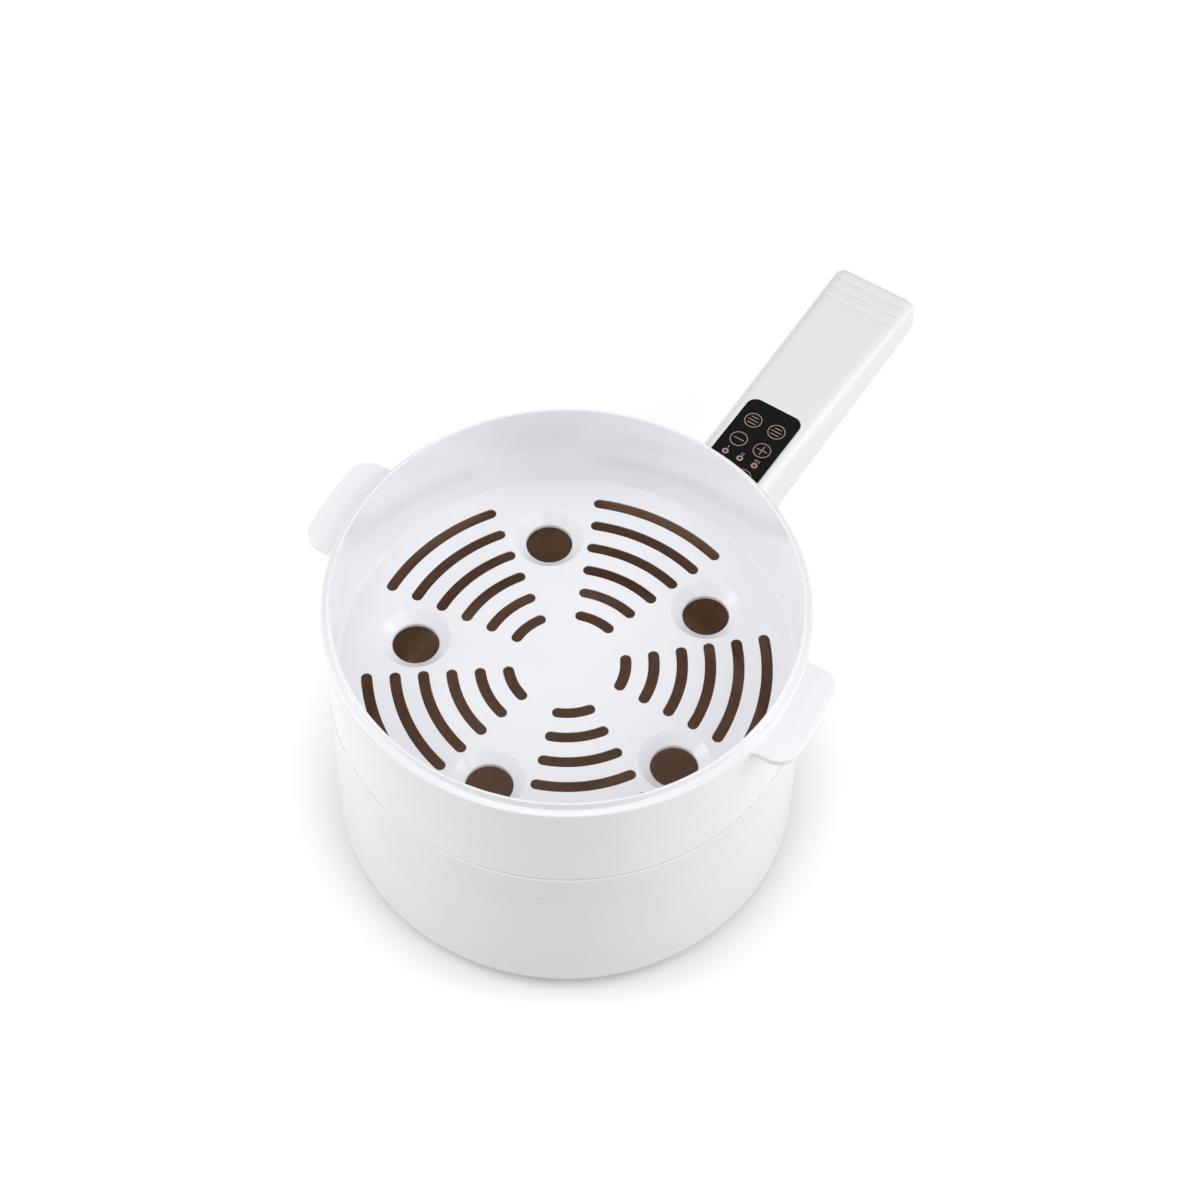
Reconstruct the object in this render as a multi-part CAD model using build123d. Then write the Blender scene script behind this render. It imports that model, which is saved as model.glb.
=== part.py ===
from build123d import *
import math
import os

# An electric hot pot: a round white pot that stands on four feet, with a straight handle that holds
# the touch controls, and a steamer basket that lifts off the top.
# Millimetres and degrees. The origin is on the pot's axis at the surface it stands on, +Z is up, and
# the handle points along +X.

# ---------------------------------------------------------------- driving dimensions
# Heights, stacked from the table up
FOOT_H = 3.0          # feet below the housing
SHELL_H = 75.5        # housing, up to the lower seam
COLLAR_H = 15.8       # collar, between the two seams
SKIRT_H = 7.2         # basket's seat up to the top of its floor
BASKET_DEPTH = 44.5   # basket's floor up to its ledge
LIP_H = 4.0           # raised lip above the ledge

# Housing and collar
COLLAR_R = 100.0
COLLAR_STEP = 0.15    # collar stands this much proud of the housing
COLLAR_WALL = 2.6
SHELL_WALL = 2.4
SHELL_ROUND = 8.0     # rounded lower edge of the housing
SEAM_ROUND = 0.5      # broken edge on each side of a seam
SPIGOT_H = 3.0        # collar's tongue inside the housing
SPIGOT_WALL = 2.1
SEAT_W = 4.1          # width of the seat that carries the basket
UPSTAND_WALL = 2.5    # ring inside the seat that carries the pot's flange
FIT = 0.15            # clearance of a fixed joint
NEST_GAP = 0.4        # basket's skirt round the upstand

# Basket
BASKET_TURN = 4.3     # how far the basket is turned on the pot
BASKET_DRAFT = 0.3    # outer wall leans in towards its lower edge
BORE_DRAFT = 0.4      # inner wall leans in towards the floor
LEDGE_W = 3.0
LIP_W = 1.1
FLOOR_CORNER = 1.2    # between the inner wall and the floor
FLOOR_T = 2.2
EAR_REACH = 14.0
EAR_W = 48.6
EAR_T = 3.2
EAR_DROP = 2.8        # top of the ears below the ledge
EAR_ROUND = 9.0       # corners of the ears, seen from above
EAR_BOW_R = 150.0     # gentle curve of the ears' outer edge
EAR_EDGE = 1.0        # broken edge of the ears
SLOT_GROUPS = 5
SLOT_FIRST_R = 24.63  # centreline of the innermost slot
SLOT_PITCH = 11.81
SLOT_HALF_W = 2.36
SLOT_HALF_ANGLES = (15.6, 17.3, 18.2, 18.75, 19.1, 19.6)
EGG_PITCH_R = 64.83   # egg holes' centres
EGG_HOLE_R = 9.94
EGG_DISH_R = 15.0
EGG_DISH_DEPTH = 4.4
EGG_DISH_WALL = 1.9
GATE_MARK_R = 1.3     # moulding gate in the middle of the floor
GATE_MARK_DEPTH = 0.3

# Pot, and what hangs under it
POT_WALL = 1.6
POT_CORNER = 8.0
FLANGE_T = 1.2
FLANGE_HEADROOM = 0.5  # between the pot's flange and the basket's floor
SEAL_W = 2.8
SEAL_H = 4.0
DISC_R = 62.0
DISC_T = 5.0
TUBE_R = 3.4
TUBE_RING_R = 48.0
TUBE_SUNK = 1.4       # how far the tube lies in the disc
TUBE_GAP_ANGLE = 28.0  # half of the ring's gap
TUBE_STUB = 9.0
BEAD_L = 3.0
BEAD_R = 2.6
TAIL_L = 6.0
LEAD_R = 1.2
LEAD_SPREAD = 3.0     # the two heater leads, either side of the middle
SENSOR_H = 7.0
SENSOR_R = 4.5
SENSOR_BRIM = 1.2     # width and thickness of the sensor's brim
THERMOSTAT_R = 7.9
SENSOR_OFFSET = 18.0
BLADE_L = 6.0         # thermostat's two contact blades
BLADE_W = 6.0
BLADE_T = 0.8
BLADE_UP = 2.0
STRAP_T = 0.8
STRAP_W = 9.0
HEAD_H = 2.0          # heads of the small screws
THREAD_DEPTH = 2.2    # how far a screw goes into the heating disc
AIR_GAP = 1.2         # least gap above the shield
STUD_RING_R = 34.0
STUD_R = 2.0
STUD_FOOT_R = 4.0
STUD_FOOT_H = 1.0
STUD_TAIL = 1.0       # stud's end below its nut
NUT_H = 3.0
FUSE_R = 2.75
FUSE_L = 36.0
FUSE_X = -9.0         # middle of the fuse, clear of the tie studs
FUSE_Y = 27.0
CLIP_W = 6.0
CLIP_T = 0.6

# Underside
BASE_BAND = 7.0       # flat band between the rounded edge and the cover
RING_LEDGE = 5.3      # housing's ledge above the cover
RING_T = 2.2
COVER_T = 2.2
BOSS_H = 4.8
BOSS_R = 3.5
PILOT_R = 1.25
SCREW_GRIP = 3.6      # length of a screw inside a boss
SCREW_R = 1.5
SCREW_HEAD_R = 2.8
COVER_HEAD_H = 1.5
SHIELD_T = 0.6
SHIELD_MARGIN = 10.0  # shield's edge inside the housing's wall
FOOT_R = 7.0
FOOT_INSET = 11.0     # feet's middles inside the housing's ledge
FOOT_STEM_R = 2.4
FOOT_BARB_R = 3.2
FOOT_BARB_H = 1.4
FOOT_ROUND = 0.8
VENT_ROWS = 4
VENT_PITCH = 9.0
VENT_L = 34.0
VENT_W = 3.0

# Handle
HANDLE_REACH = 161.0  # from the collar to the handle's end
HANDLE_DROP = 3.3     # handle's top below the basket's seat
ROOT_W = 37.0
ROOT_T = 34.7
END_W = 42.8
END_T = 18.6
TOP_ROUND = 6.0
BOTTOM_ROUND = 5.0
END_ROUND = 4.0
HANDLE_WALL = 2.2
PART_H = 5.0          # height of the lower shell's side wall
GRIP_GROOVES = 3
GRIP_FIRST = 7.4      # first groove from the handle's end
GRIP_PITCH = 5.9
GRIP_HALF_L = 18.0    # grooves run out on the rounded edges
GRIP_R = 1.8
GRIP_DEPTH = 0.35
PAD_HALF_W = 15.5     # block on the housing that the handle slides over
PAD_H = 15.0
PAD_PROUD = 2.7
PAD_INNER = 1.7
WIRE_HOLE_R = 5.5
WIRE_HOLE_UP = 9.0    # wire hole above the foot of the pad
BRACKET_T = 2.0
BRACKET_HALF_W = 14.5
BRACKET_H = 13.5
TONGUE_L = 17.0
TONGUE_HALF_W = 13.0
BRACKET_SCREW_Y = 10.5
BRACKET_SCREW_R = 2.0
BRACKET_SCREW_HEAD_R = 3.4
BRACKET_SCREW_HEAD_H = 2.2
BRACKET_SCREW_L = 11.5
ROOT_SCREW_X = 14.0   # handle screws: past the collar, past the panel and past the power board
ROOT_SCREW_Y = 9.0
MIDDLE_SCREW_X = 7.5
END_SCREW_X = 6.0
END_SCREW_Y = 12.5
HEAD_RECESS = 1.2     # handle screws' heads below the surface
HANDLE_BOSS_R = 3.5
THREAD_GAP = 0.03
THREAD_L = 8.0
THREAD_RUNOUT = 3.0

# Touch panel and its board
PANEL_REACH = HANDLE_REACH * 0.4441  # collar to the panel's far end
PANEL_L = HANDLE_REACH * 0.31056
PANEL_W = 27.2
PANEL_T = 1.2
PANEL_ROUND = 4.8
KEY_ROW = PANEL_L * 0.234            # first row of keys from the panel's far end
KEY_PITCH_X = PANEL_L * 0.248
KEY_PITCH_Y = 12.1
LAMP_ROW = PANEL_L * 0.662
LAMP_PITCH_Y = 7.5
LAST_KEY_ROW = PANEL_L * 0.822
KEY_RING_R = 4.05
KEY_LINE = 0.38
PRINT_T = 0.1
LAMP_RING_R = 1.5
LAMP_HOLE_R = 0.7
LEVEL_MARK_X = 2.7    # from a lamp to its level mark: one, two or three strokes
LEVEL_MARK_L = 1.3
LEVEL_MARK_PITCH = 1.0
SPRING_H = 3.0
SPRING_R = 2.2
SPRING_WIRE_R = 0.22
SPRING_PITCH = 0.9
APERTURE_MARGIN = 6.0
PANEL_SEAT_T = 1.0    # wall under the panel
BOARD_T = 1.6
TOUCH_BOARD_MARGIN = 2.0
POST_R = 2.2
POST_INSET = 2.4
BOARD_SCREW_R = 0.8
BOARD_SCREW_HOLE_R = 1.0
BOARD_SCREW_HEAD_R = 1.7
BOARD_SCREW_HEAD_H = 1.1
BOARD_SCREW_GRIP = 1.8
LED_GAP = 0.5
CONNECTOR_X = 15.5    # from the panel's near end to the connector under the touch board
CONNECTOR_SIZE = (8.0, 10.0, 4.0)
CHIP_X = 14.0         # from the connector to the touch controller
CHIP_SIZE = (8.0, 8.0, 1.4)

# Power board and mains inlet
POWER_X = HANDLE_REACH * 0.52795     # collar to the near edge of the power board
POWER_L = HANDLE_REACH * 2 / 7
POWER_HALF_W = 13.5
POWER_POST = 2.6      # shortest post under the board
POWER_POST_NEAR = 11.5
POWER_POST_FAR = 4.0
POWER_POST_INSET = 3.0
BLOCK_INSET = 4.5     # lead block's middle from the board's near edge
BLOCK_SIZE = (7.0, 26.0, 7.4)
RELAY_PLACE = (26.0, -5.5)
RELAY_SIZE = (15.0, 11.0, 10.0)
CAPACITOR_PLACE = (25.0, 6.5)
CAPACITOR_SIZE = (17.0, 7.0, 10.5)
INLET_HALF_W = 8.3
INLET_HALF_H = 5.3
INLET_L = 13.6
INLET_DEPTH = 9.6
INLET_OPEN_W = 14.4
INLET_OPEN_H = 8.2
INLET_ROUND = 1.5
INLET_RECESS = 0.4
INLET_PIN_R = 1.18
INLET_PIN_SPACING = 8.6
INLET_PIN_PROUD = 8.4
INLET_TAIL = 3.0
INLET_WING = 2.2
INLET_WING_T = 1.6
INLET_WING_INSET = 0.5

# Wiring
WIRE_DROP = 2.0       # heater leads below the middle of the wire hole
WIRE_RISE = 2.2       # sensor lead above it
SENSOR_LEAD_R = 1.0
INLET_LEAD_R = 1.0
LINK_R = 1.2
LEAD_Y = 10.0         # heater leads beside the middle screw
LINK_Y = 5.9          # board link beside the middle screw
LEAD_SPLAY = 8.0      # heater leads spread this far past the root screws
LEAD_SPLAY_L = 20.0
LEAD_SPLAY_RISE = 4.0
LEAD_LEVEL_L = 12.0   # straight run into the lead block
LINK_CLEARANCE = 1.5  # board link above the power board's level

# ---------------------------------------------------------------- worked-out heights and radii
Z_BASE = FOOT_H
Z_SPLIT = Z_BASE + SHELL_H
Z_SEAT = Z_SPLIT + COLLAR_H
Z_FLOOR = Z_SEAT + SKIRT_H
Z_LEDGE = Z_FLOOR + BASKET_DEPTH
Z_LIP = Z_LEDGE + LIP_H
Z_FLANGE = Z_FLOOR - FLOOR_T - FLANGE_HEADROOM
Z_UPSTAND = Z_FLANGE - FLANGE_T
Z_RING = Z_BASE + COVER_T
Z_SHIELD = Z_RING + BOSS_H
Z_STRAP = Z_SHIELD + SHIELD_T + AIR_GAP + HEAD_H
Z_DISC = Z_STRAP + STRAP_T + SENSOR_H
Z_POT = Z_DISC + DISC_T
Z_TUBE = Z_DISC - TUBE_R + TUBE_SUNK
Z_GRIP = Z_SEAT - HANDLE_DROP
CLIP_SCREW_Y = FUSE_R + 2 * CLIP_T + SCREW_HEAD_R  # fuse's axis to the screw of its clip

SHELL_R = COLLAR_R - COLLAR_STEP
SHELL_BORE = SHELL_R - SHELL_WALL
UPSTAND_R = COLLAR_R - SEAT_W
POT_R = UPSTAND_R - UPSTAND_WALL - SEAL_W
COVER_OPENING_R = SHELL_R - SHELL_ROUND - BASE_BAND
RING_R = COVER_OPENING_R - RING_LEDGE
BOSS_RING_R = RING_R + PILOT_R
FOOT_RING_R = RING_R - FOOT_INSET
HANDLE_END = COLLAR_R + HANDLE_REACH
PANEL_END = COLLAR_R + PANEL_REACH
PANEL_START = PANEL_END - PANEL_L

Z_PAD_TOP = Z_SPLIT - SPIGOT_H - 2 * FIT
Z_PAD = Z_PAD_TOP - PAD_H
Z_WIRES = Z_PAD + WIRE_HOLE_UP
PAD_FACE = SHELL_R + PAD_PROUD
PAD_BACK = SHELL_BORE - PAD_INNER


# ---------------------------------------------------------------- shapes used again and again
def cylinder(x, y, low, high, radius):
    """Upright cylinder between two heights."""
    return Pos(x, y, (low + high) / 2) * Cylinder(radius, high - low)


def rod(start, end, y, z, radius):
    """Cylinder along X between two places."""
    return Pos((start + end) / 2, y, z) * Rot(0, 90, 0) * Cylinder(radius, end - start)


def block(x, y, z):
    """Box between three pairs of limits."""
    middle = [(low + high) / 2 for low, high in (x, y, z)]
    return Pos(*middle) * Box(*[high - low for low, high in (x, y, z)])


def turned(*corners):
    """Solid turned about the pot's axis; each corner is radius, height and how far it is rounded."""
    outline = FilletPolyline(
        *[(radius, height) for radius, height, _ in corners],
        radius=[rounding for _, _, rounding in corners],
        close=True,
    )
    return revolve(Plane.XZ * make_face(outline), Axis.Z)


def around(count, first=0.0):
    """Rotations about the pot's axis, evenly spaced."""
    return [Rot(0, 0, first + 360 / count * step) for step in range(count)]


def wire(points, radius, bends):
    """Round wire along straight runs joined by arcs."""
    path = FilletPolyline(*points, radius=bends)
    section = Plane(origin=path @ 0, z_dir=path % 0) * Circle(radius)
    return sweep(section, path)


def group(solids):
    """Separate solids that share one node."""
    return Compound(children=list(solids))


def both_sides(make):
    """The same piece on the +Y and the -Y side."""
    return [make(side) for side in (1, -1)]


# ---------------------------------------------------------------- basket
def slot_cutter(centre_r, half_angle):
    """Curved slot with round ends, centred on the +X direction."""
    def at(radius, angle):
        turn = math.radians(angle)
        return (radius * math.cos(turn), radius * math.sin(turn))

    cap = math.degrees(SLOT_HALF_W / centre_r)
    inner, outer = centre_r - SLOT_HALF_W, centre_r + SLOT_HALF_W
    outline = [
        ThreePointArc(at(outer, -half_angle), at(outer, 0), at(outer, half_angle)),
        ThreePointArc(at(outer, half_angle), at(centre_r, half_angle + cap), at(inner, half_angle)),
        ThreePointArc(at(inner, half_angle), at(inner, 0), at(inner, -half_angle)),
        ThreePointArc(at(inner, -half_angle), at(centre_r, -half_angle - cap), at(outer, -half_angle)),
    ]
    return Pos(0, 0, Z_FLOOR - 2 * FLOOR_T) * extrude(make_face(outline), 3 * FLOOR_T)


def dish(top_r, bottom_r, depth, below):
    """Cone from the floor's top down to an egg hole, and a straight throat under it."""
    cone = Pos(0, 0, Z_FLOOR - depth / 2) * Cone(bottom_r, top_r, depth)
    return cone + cylinder(0, 0, Z_FLOOR - depth - below, Z_FLOOR - depth, bottom_r)


def ear():
    """Flat tab on the -Y side of the rim, before the basket's bore is cleared."""
    outer = COLLAR_R + EAR_REACH
    inner = COLLAR_R - LEDGE_W
    plate = Pos(0, -(outer + inner / 2) / 2) * Rectangle(EAR_W, outer - inner / 2)
    plate = plate & (Pos(0, EAR_BOW_R - outer) * Circle(EAR_BOW_R))
    corners = plate.vertices().group_by(Axis.Y)[0]
    plate = fillet(corners, EAR_ROUND)
    tab = Pos(0, 0, Z_LEDGE - EAR_DROP - EAR_T) * extrude(plate, EAR_T)
    outline = [edge for edge in tab.edges() if edge.center().Y < -inner and abs(edge.tangent_at(0.5).Z) < 0.5]
    tab = fillet(outline, EAR_EDGE)
    return tab - cylinder(0, 0, 0, Z_LIP, COLLAR_R - LEDGE_W)


def steamer_basket():
    bore_top = COLLAR_R - LEDGE_W - LIP_W
    bore_floor = bore_top - BORE_DRAFT
    underside = Z_FLOOR - FLOOR_T
    wall_foot = COLLAR_R - BASKET_DRAFT
    skirt_bore = UPSTAND_R + NEST_GAP
    body = turned(
        (0, underside, 0),
        (skirt_bore, underside, 0),
        (skirt_bore, Z_SEAT, 0),
        (wall_foot, Z_SEAT, SEAM_ROUND),
        (COLLAR_R, Z_LEDGE, SEAM_ROUND),
        (COLLAR_R - LEDGE_W, Z_LEDGE, 0),
        (COLLAR_R - LEDGE_W, Z_LIP, LIP_W * 0.45),
        (bore_top, Z_LIP, LIP_W * 0.45),
        (bore_floor, Z_FLOOR, FLOOR_CORNER),
        (0, Z_FLOOR, 0),
    )
    holes = [turn * Pos(EGG_PITCH_R, 0, 0) for turn in around(SLOT_GROUPS, 180 / SLOT_GROUPS)]
    outside = dish(EGG_DISH_R + EGG_DISH_WALL, EGG_HOLE_R + EGG_DISH_WALL, EGG_DISH_DEPTH, EGG_DISH_WALL)
    inside = dish(EGG_DISH_R, EGG_HOLE_R, EGG_DISH_DEPTH, 2 * EGG_DISH_WALL)
    slots = [
        turn * slot_cutter(SLOT_FIRST_R + SLOT_PITCH * row, half_angle)
        for turn in around(SLOT_GROUPS)
        for row, half_angle in enumerate(SLOT_HALF_ANGLES)
    ]
    body = body + [hole * outside for hole in holes]
    body = body - [hole * inside for hole in holes] - slots
    body = body - cylinder(0, 0, Z_FLOOR - GATE_MARK_DEPTH, Z_LIP, GATE_MARK_R)
    body = body + [turn * ear() for turn in around(2)]
    return Rot(0, 0, BASKET_TURN) * body


# ---------------------------------------------------------------- pot and housing
def rim_collar():
    bore = COLLAR_R - COLLAR_WALL
    spigot_r = SHELL_BORE - FIT
    deck = Z_SEAT - COLLAR_WALL
    upstand_bore = UPSTAND_R - UPSTAND_WALL
    return turned(
        (COLLAR_R, Z_SPLIT, SEAM_ROUND),
        (COLLAR_R, Z_SEAT, SEAM_ROUND),
        (UPSTAND_R, Z_SEAT, 0),
        (UPSTAND_R, Z_UPSTAND, 0),
        (upstand_bore, Z_UPSTAND, 0),
        (upstand_bore, deck, 0),
        (bore, deck, 0),
        (bore, Z_SPLIT + SPIGOT_WALL, 0),
        (spigot_r - SPIGOT_WALL, Z_SPLIT + SPIGOT_WALL, 0),
        (spigot_r - SPIGOT_WALL, Z_SPLIT - SPIGOT_H, 0),
        (spigot_r, Z_SPLIT - SPIGOT_H, 0),
        (spigot_r, Z_SPLIT, 0),
    )


def outer_shell():
    inner_bevel = SHELL_ROUND - SHELL_WALL
    floor = Z_RING + RING_T
    body = turned(
        (SHELL_R, Z_SPLIT, SEAM_ROUND),
        (SHELL_R, Z_BASE, SHELL_ROUND),
        (COVER_OPENING_R, Z_BASE, 0),
        (COVER_OPENING_R, Z_RING, 0),
        (RING_R, Z_RING, 0),
        (RING_R, floor, 0),
        (SHELL_BORE - inner_bevel, floor, 0),
        (SHELL_BORE, floor + inner_bevel, 0),
        (SHELL_BORE, Z_SPLIT, 0),
    )
    pad = block((PAD_BACK, PAD_FACE), (-PAD_HALF_W, PAD_HALF_W), (Z_PAD, Z_PAD_TOP))
    bosses = [turn * cylinder(BOSS_RING_R, 0, Z_RING, Z_SHIELD, BOSS_R) for turn in around(8)]
    body = body + pad + bosses
    pilots = [turn * cylinder(BOSS_RING_R, 0, Z_RING - 1, Z_SHIELD + 1, PILOT_R) for turn in around(8)]
    screw_holes = both_sides(
        lambda side: rod(PAD_BACK - 1, PAD_FACE + 1, side * BRACKET_SCREW_Y, Z_WIRES, BRACKET_SCREW_R + FIT)
    )
    return body - pilots - screw_holes - rod(PAD_BACK - 1, PAD_FACE + 1, 0, Z_WIRES, WIRE_HOLE_R)


def inner_pot():
    return turned(
        (0, Z_POT, 0),
        (POT_R, Z_POT, POT_CORNER + POT_WALL),
        (POT_R, Z_UPSTAND, 0),
        (UPSTAND_R - 2 * FIT, Z_UPSTAND, 0),
        (UPSTAND_R - 2 * FIT, Z_FLANGE, FLANGE_T * 0.45),
        (POT_R - POT_WALL, Z_FLANGE, FLANGE_T * 0.8),
        (POT_R - POT_WALL, Z_POT + POT_WALL, POT_CORNER),
        (0, Z_POT + POT_WALL, 0),
    )


def pot_seal():
    """Silicone ring between the pot's wall and the upstand, with a lip under the flange."""
    outer = UPSTAND_R - UPSTAND_WALL - FIT
    return turned(
        (POT_R + FIT, Z_UPSTAND - FIT, 0),
        (POT_R + FIT, Z_UPSTAND - SEAL_H, 0),
        (outer, Z_UPSTAND - SEAL_H, 0.4),
        (outer, Z_UPSTAND - FIT, 0),
    )


# ---------------------------------------------------------------- heating
def tube_point(side):
    """Where the heating ring ends, beside the gap that faces the handle."""
    turn = math.radians(TUBE_GAP_ANGLE)
    return (TUBE_RING_R * math.cos(turn), side * TUBE_RING_R * math.sin(turn))


def along_stub(side, distance):
    """Point on the straight end of the heating tube, so far past the end of the ring."""
    turn = math.radians(TUBE_GAP_ANGLE)
    x, y = tube_point(side)
    return (x + distance * math.sin(turn), y - side * distance * math.cos(turn), Z_TUBE)


def stub(side, start, length, radius):
    """Round length in line with the straight end of the heating tube."""
    line = Line(along_stub(side, start), along_stub(side, start + length))
    return sweep(Plane(origin=line @ 0, z_dir=line % 0) * Circle(radius), line)


def heating_tube():
    ring = ThreePointArc((*tube_point(1), Z_TUBE), (-TUBE_RING_R, 0, Z_TUBE), (*tube_point(-1), Z_TUBE))
    path = Line(along_stub(1, TUBE_STUB), (*tube_point(1), Z_TUBE)) + ring
    path = path + Line((*tube_point(-1), Z_TUBE), along_stub(-1, TUBE_STUB))
    section = Plane(origin=along_stub(1, TUBE_STUB), z_dir=path % 0) * Circle(TUBE_R)
    return sweep(section, path)


def heating_disc():
    disc = cylinder(0, 0, Z_DISC, Z_POT, DISC_R)
    groove = Pos(0, 0, Z_TUBE) * Torus(TUBE_RING_R, TUBE_R + FIT)
    stubs = both_sides(lambda side: stub(side, 0, TUBE_STUB + BEAD_L, TUBE_R + FIT))
    top = Z_DISC + THREAD_DEPTH + FIT
    strap_hole = cylinder(0, 0, Z_STRAP, top, STUD_R + THREAD_GAP)
    clip_hole = cylinder(FUSE_X, FUSE_Y + CLIP_SCREW_Y, Z_STRAP, top, SCREW_R + THREAD_GAP)
    return disc - groove - stubs - strap_hole - clip_hole


def tube_terminals():
    """Insulating bead and terminal pin on each end of the heating tube."""
    def terminal(side):
        bead = stub(side, TUBE_STUB, BEAD_L, BEAD_R)
        return bead + stub(side, TUBE_STUB + BEAD_L, TAIL_L, LEAD_R)

    return group(both_sides(terminal))


def heat_shield():
    plate = cylinder(0, 0, Z_SHIELD, Z_SHIELD + SHIELD_T, SHELL_BORE - SHIELD_MARGIN)
    studs = [turn * cylinder(STUD_RING_R, 0, Z_SHIELD - 1, Z_STRAP, STUD_R + FIT) for turn in around(3, 60)]
    screws = [turn * cylinder(BOSS_RING_R, 0, Z_SHIELD - 1, Z_STRAP, SCREW_R + FIT) for turn in around(4, 45)]
    return plate - studs - screws


def tie_studs():
    """Studs welded under the heating disc, which pull the pot down on the collar."""
    stud = cylinder(STUD_RING_R, 0, Z_SHIELD - NUT_H - STUD_TAIL, Z_DISC, STUD_R)
    stud = stud + cylinder(STUD_RING_R, 0, Z_DISC - STUD_FOOT_H, Z_DISC, STUD_FOOT_R)
    return group(turn * stud for turn in around(3, 60))


def tie_nuts():
    nut = extrude(RegularPolygon(2 * STUD_R, 6), NUT_H)
    nut = Pos(STUD_RING_R, 0, Z_SHIELD - NUT_H) * nut
    nut = nut - cylinder(STUD_RING_R, 0, 0, Z_DISC, STUD_R + THREAD_GAP)
    return group(turn * nut for turn in around(3, 60))


def screw(length, shaft_r, head_r, head_h):
    """Pan-head screw along +Z: its shaft starts at the origin and its head lies below."""
    head = Pos(0, 0, -head_h / 2) * Cylinder(head_r, head_h)
    head = fillet(head.edges().group_by(Axis.Z)[0], head_h * 0.4)
    cross = Pos(0, 0, -head_h) * (Box(head_r, head_h * 0.3, head_h) + Box(head_h * 0.3, head_r, head_h))
    return head - cross + Pos(0, 0, length / 2) * Cylinder(shaft_r, length)


def shield_screws():
    down = Pos(BOSS_RING_R, 0, Z_SHIELD + SHIELD_T) * Rot(180, 0, 0)
    one = down * screw(SHIELD_T + SCREW_GRIP, PILOT_R - THREAD_GAP, SCREW_HEAD_R, HEAD_H)
    return group(turn * one for turn in around(4, 45))


def thermostat():
    """Disc cut-out under the heating disc, with its two blades."""
    low = Z_DISC - SENSOR_H
    body = cylinder(-SENSOR_OFFSET, 0, low, Z_DISC, THERMOSTAT_R)
    blade = Pos(-SENSOR_OFFSET, 0, low + BLADE_UP) * Box(BLADE_W, 2 * (THERMOSTAT_R + BLADE_L), BLADE_T)
    return body + blade


def temperature_sensor():
    low = Z_DISC - SENSOR_H
    body = cylinder(SENSOR_OFFSET, 0, low, Z_DISC, SENSOR_R)
    return body + cylinder(SENSOR_OFFSET, 0, Z_DISC - SENSOR_BRIM, Z_DISC, SENSOR_R + SENSOR_BRIM)


def sensor_strap():
    """Spring strip that presses the sensor and the cut-out against the heating disc."""
    reach = SENSOR_OFFSET + THERMOSTAT_R
    strip = block((-reach, reach), (-STRAP_W / 2, STRAP_W / 2), (Z_STRAP, Z_STRAP + STRAP_T))
    return strip - cylinder(0, 0, 0, Z_DISC, STUD_R + FIT)


def strap_screw():
    return Pos(0, 0, Z_STRAP) * screw(Z_DISC + THREAD_DEPTH - Z_STRAP, STUD_R, 2 * STUD_R, HEAD_H)


def thermal_fuse():
    """Fuse in its sleeve, lying against the heating disc."""
    return rod(FUSE_X - FUSE_L / 2, FUSE_X + FUSE_L / 2, FUSE_Y, Z_DISC - FUSE_R, FUSE_R)


def fuse_clip():
    """Bent strip that holds the fuse up, with the screw that fixes it."""
    z = Z_DISC - FUSE_R
    inner, outer = FUSE_R + FIT, FUSE_R + FIT + CLIP_T
    reach = CLIP_SCREW_Y + SCREW_HEAD_R
    band = rod(-CLIP_W / 2, CLIP_W / 2, 0, z, outer) & block((-CLIP_W, CLIP_W), (-outer, outer), (0, z))
    band = band + block((-CLIP_W / 2, CLIP_W / 2), (-outer, outer), (z, Z_DISC))
    band = band + block((-CLIP_W / 2, CLIP_W / 2), (0, reach), (Z_DISC - CLIP_T, Z_DISC))
    channel = rod(-CLIP_W, CLIP_W, 0, z, inner) + block((-CLIP_W, CLIP_W), (-inner, inner), (z, Z_DISC + 1))
    strip = band - channel - cylinder(0, CLIP_SCREW_Y, 0, Z_POT, SCREW_R + FIT)
    fixing = screw(CLIP_T + THREAD_DEPTH, SCREW_R, SCREW_HEAD_R, HEAD_H)
    fixing = Pos(0, CLIP_SCREW_Y, Z_DISC - CLIP_T) * fixing
    return group([Pos(FUSE_X, FUSE_Y, 0) * piece for piece in (strip, fixing)])


# ---------------------------------------------------------------- underside
def base_cover():
    plate = cylinder(0, 0, Z_BASE, Z_RING, COVER_OPENING_R - 2 * FIT)
    screws = [turn * cylinder(BOSS_RING_R, 0, 0, Z_SHIELD, SCREW_R + FIT) for turn in around(4)]
    stems = [turn * cylinder(FOOT_RING_R, 0, 0, Z_SHIELD, FOOT_STEM_R + FIT) for turn in around(4, 45)]
    vents = [
        Pos(0, (row - (VENT_ROWS - 1) / 2) * VENT_PITCH, Z_BASE - 1)
        * extrude(SlotOverall(VENT_L, VENT_W), COVER_T + 2)
        for row in range(VENT_ROWS)
    ]
    return plate - screws - stems - vents


def base_feet():
    pad = cylinder(FOOT_RING_R, 0, 0, Z_BASE, FOOT_R)
    pad = fillet(pad.edges().group_by(Axis.Z)[0], FOOT_ROUND)
    foot = pad + cylinder(FOOT_RING_R, 0, Z_BASE, Z_RING, FOOT_STEM_R)
    foot = foot + cylinder(FOOT_RING_R, 0, Z_RING, Z_RING + FOOT_BARB_H, FOOT_BARB_R)
    return group(turn * foot for turn in around(4, 45))


def cover_screws():
    one = screw(COVER_T + SCREW_GRIP, PILOT_R - THREAD_GAP, SCREW_HEAD_R, COVER_HEAD_H)
    return group(turn * Pos(BOSS_RING_R, 0, Z_BASE) * one for turn in around(4))


# ---------------------------------------------------------------- handle
def handle_share(x):
    """0 at the collar, 1 at the handle's end."""
    return (x - COLLAR_R) / HANDLE_REACH


def handle_half_width(x):
    return (ROOT_W + (END_W - ROOT_W) * handle_share(x)) / 2


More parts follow.
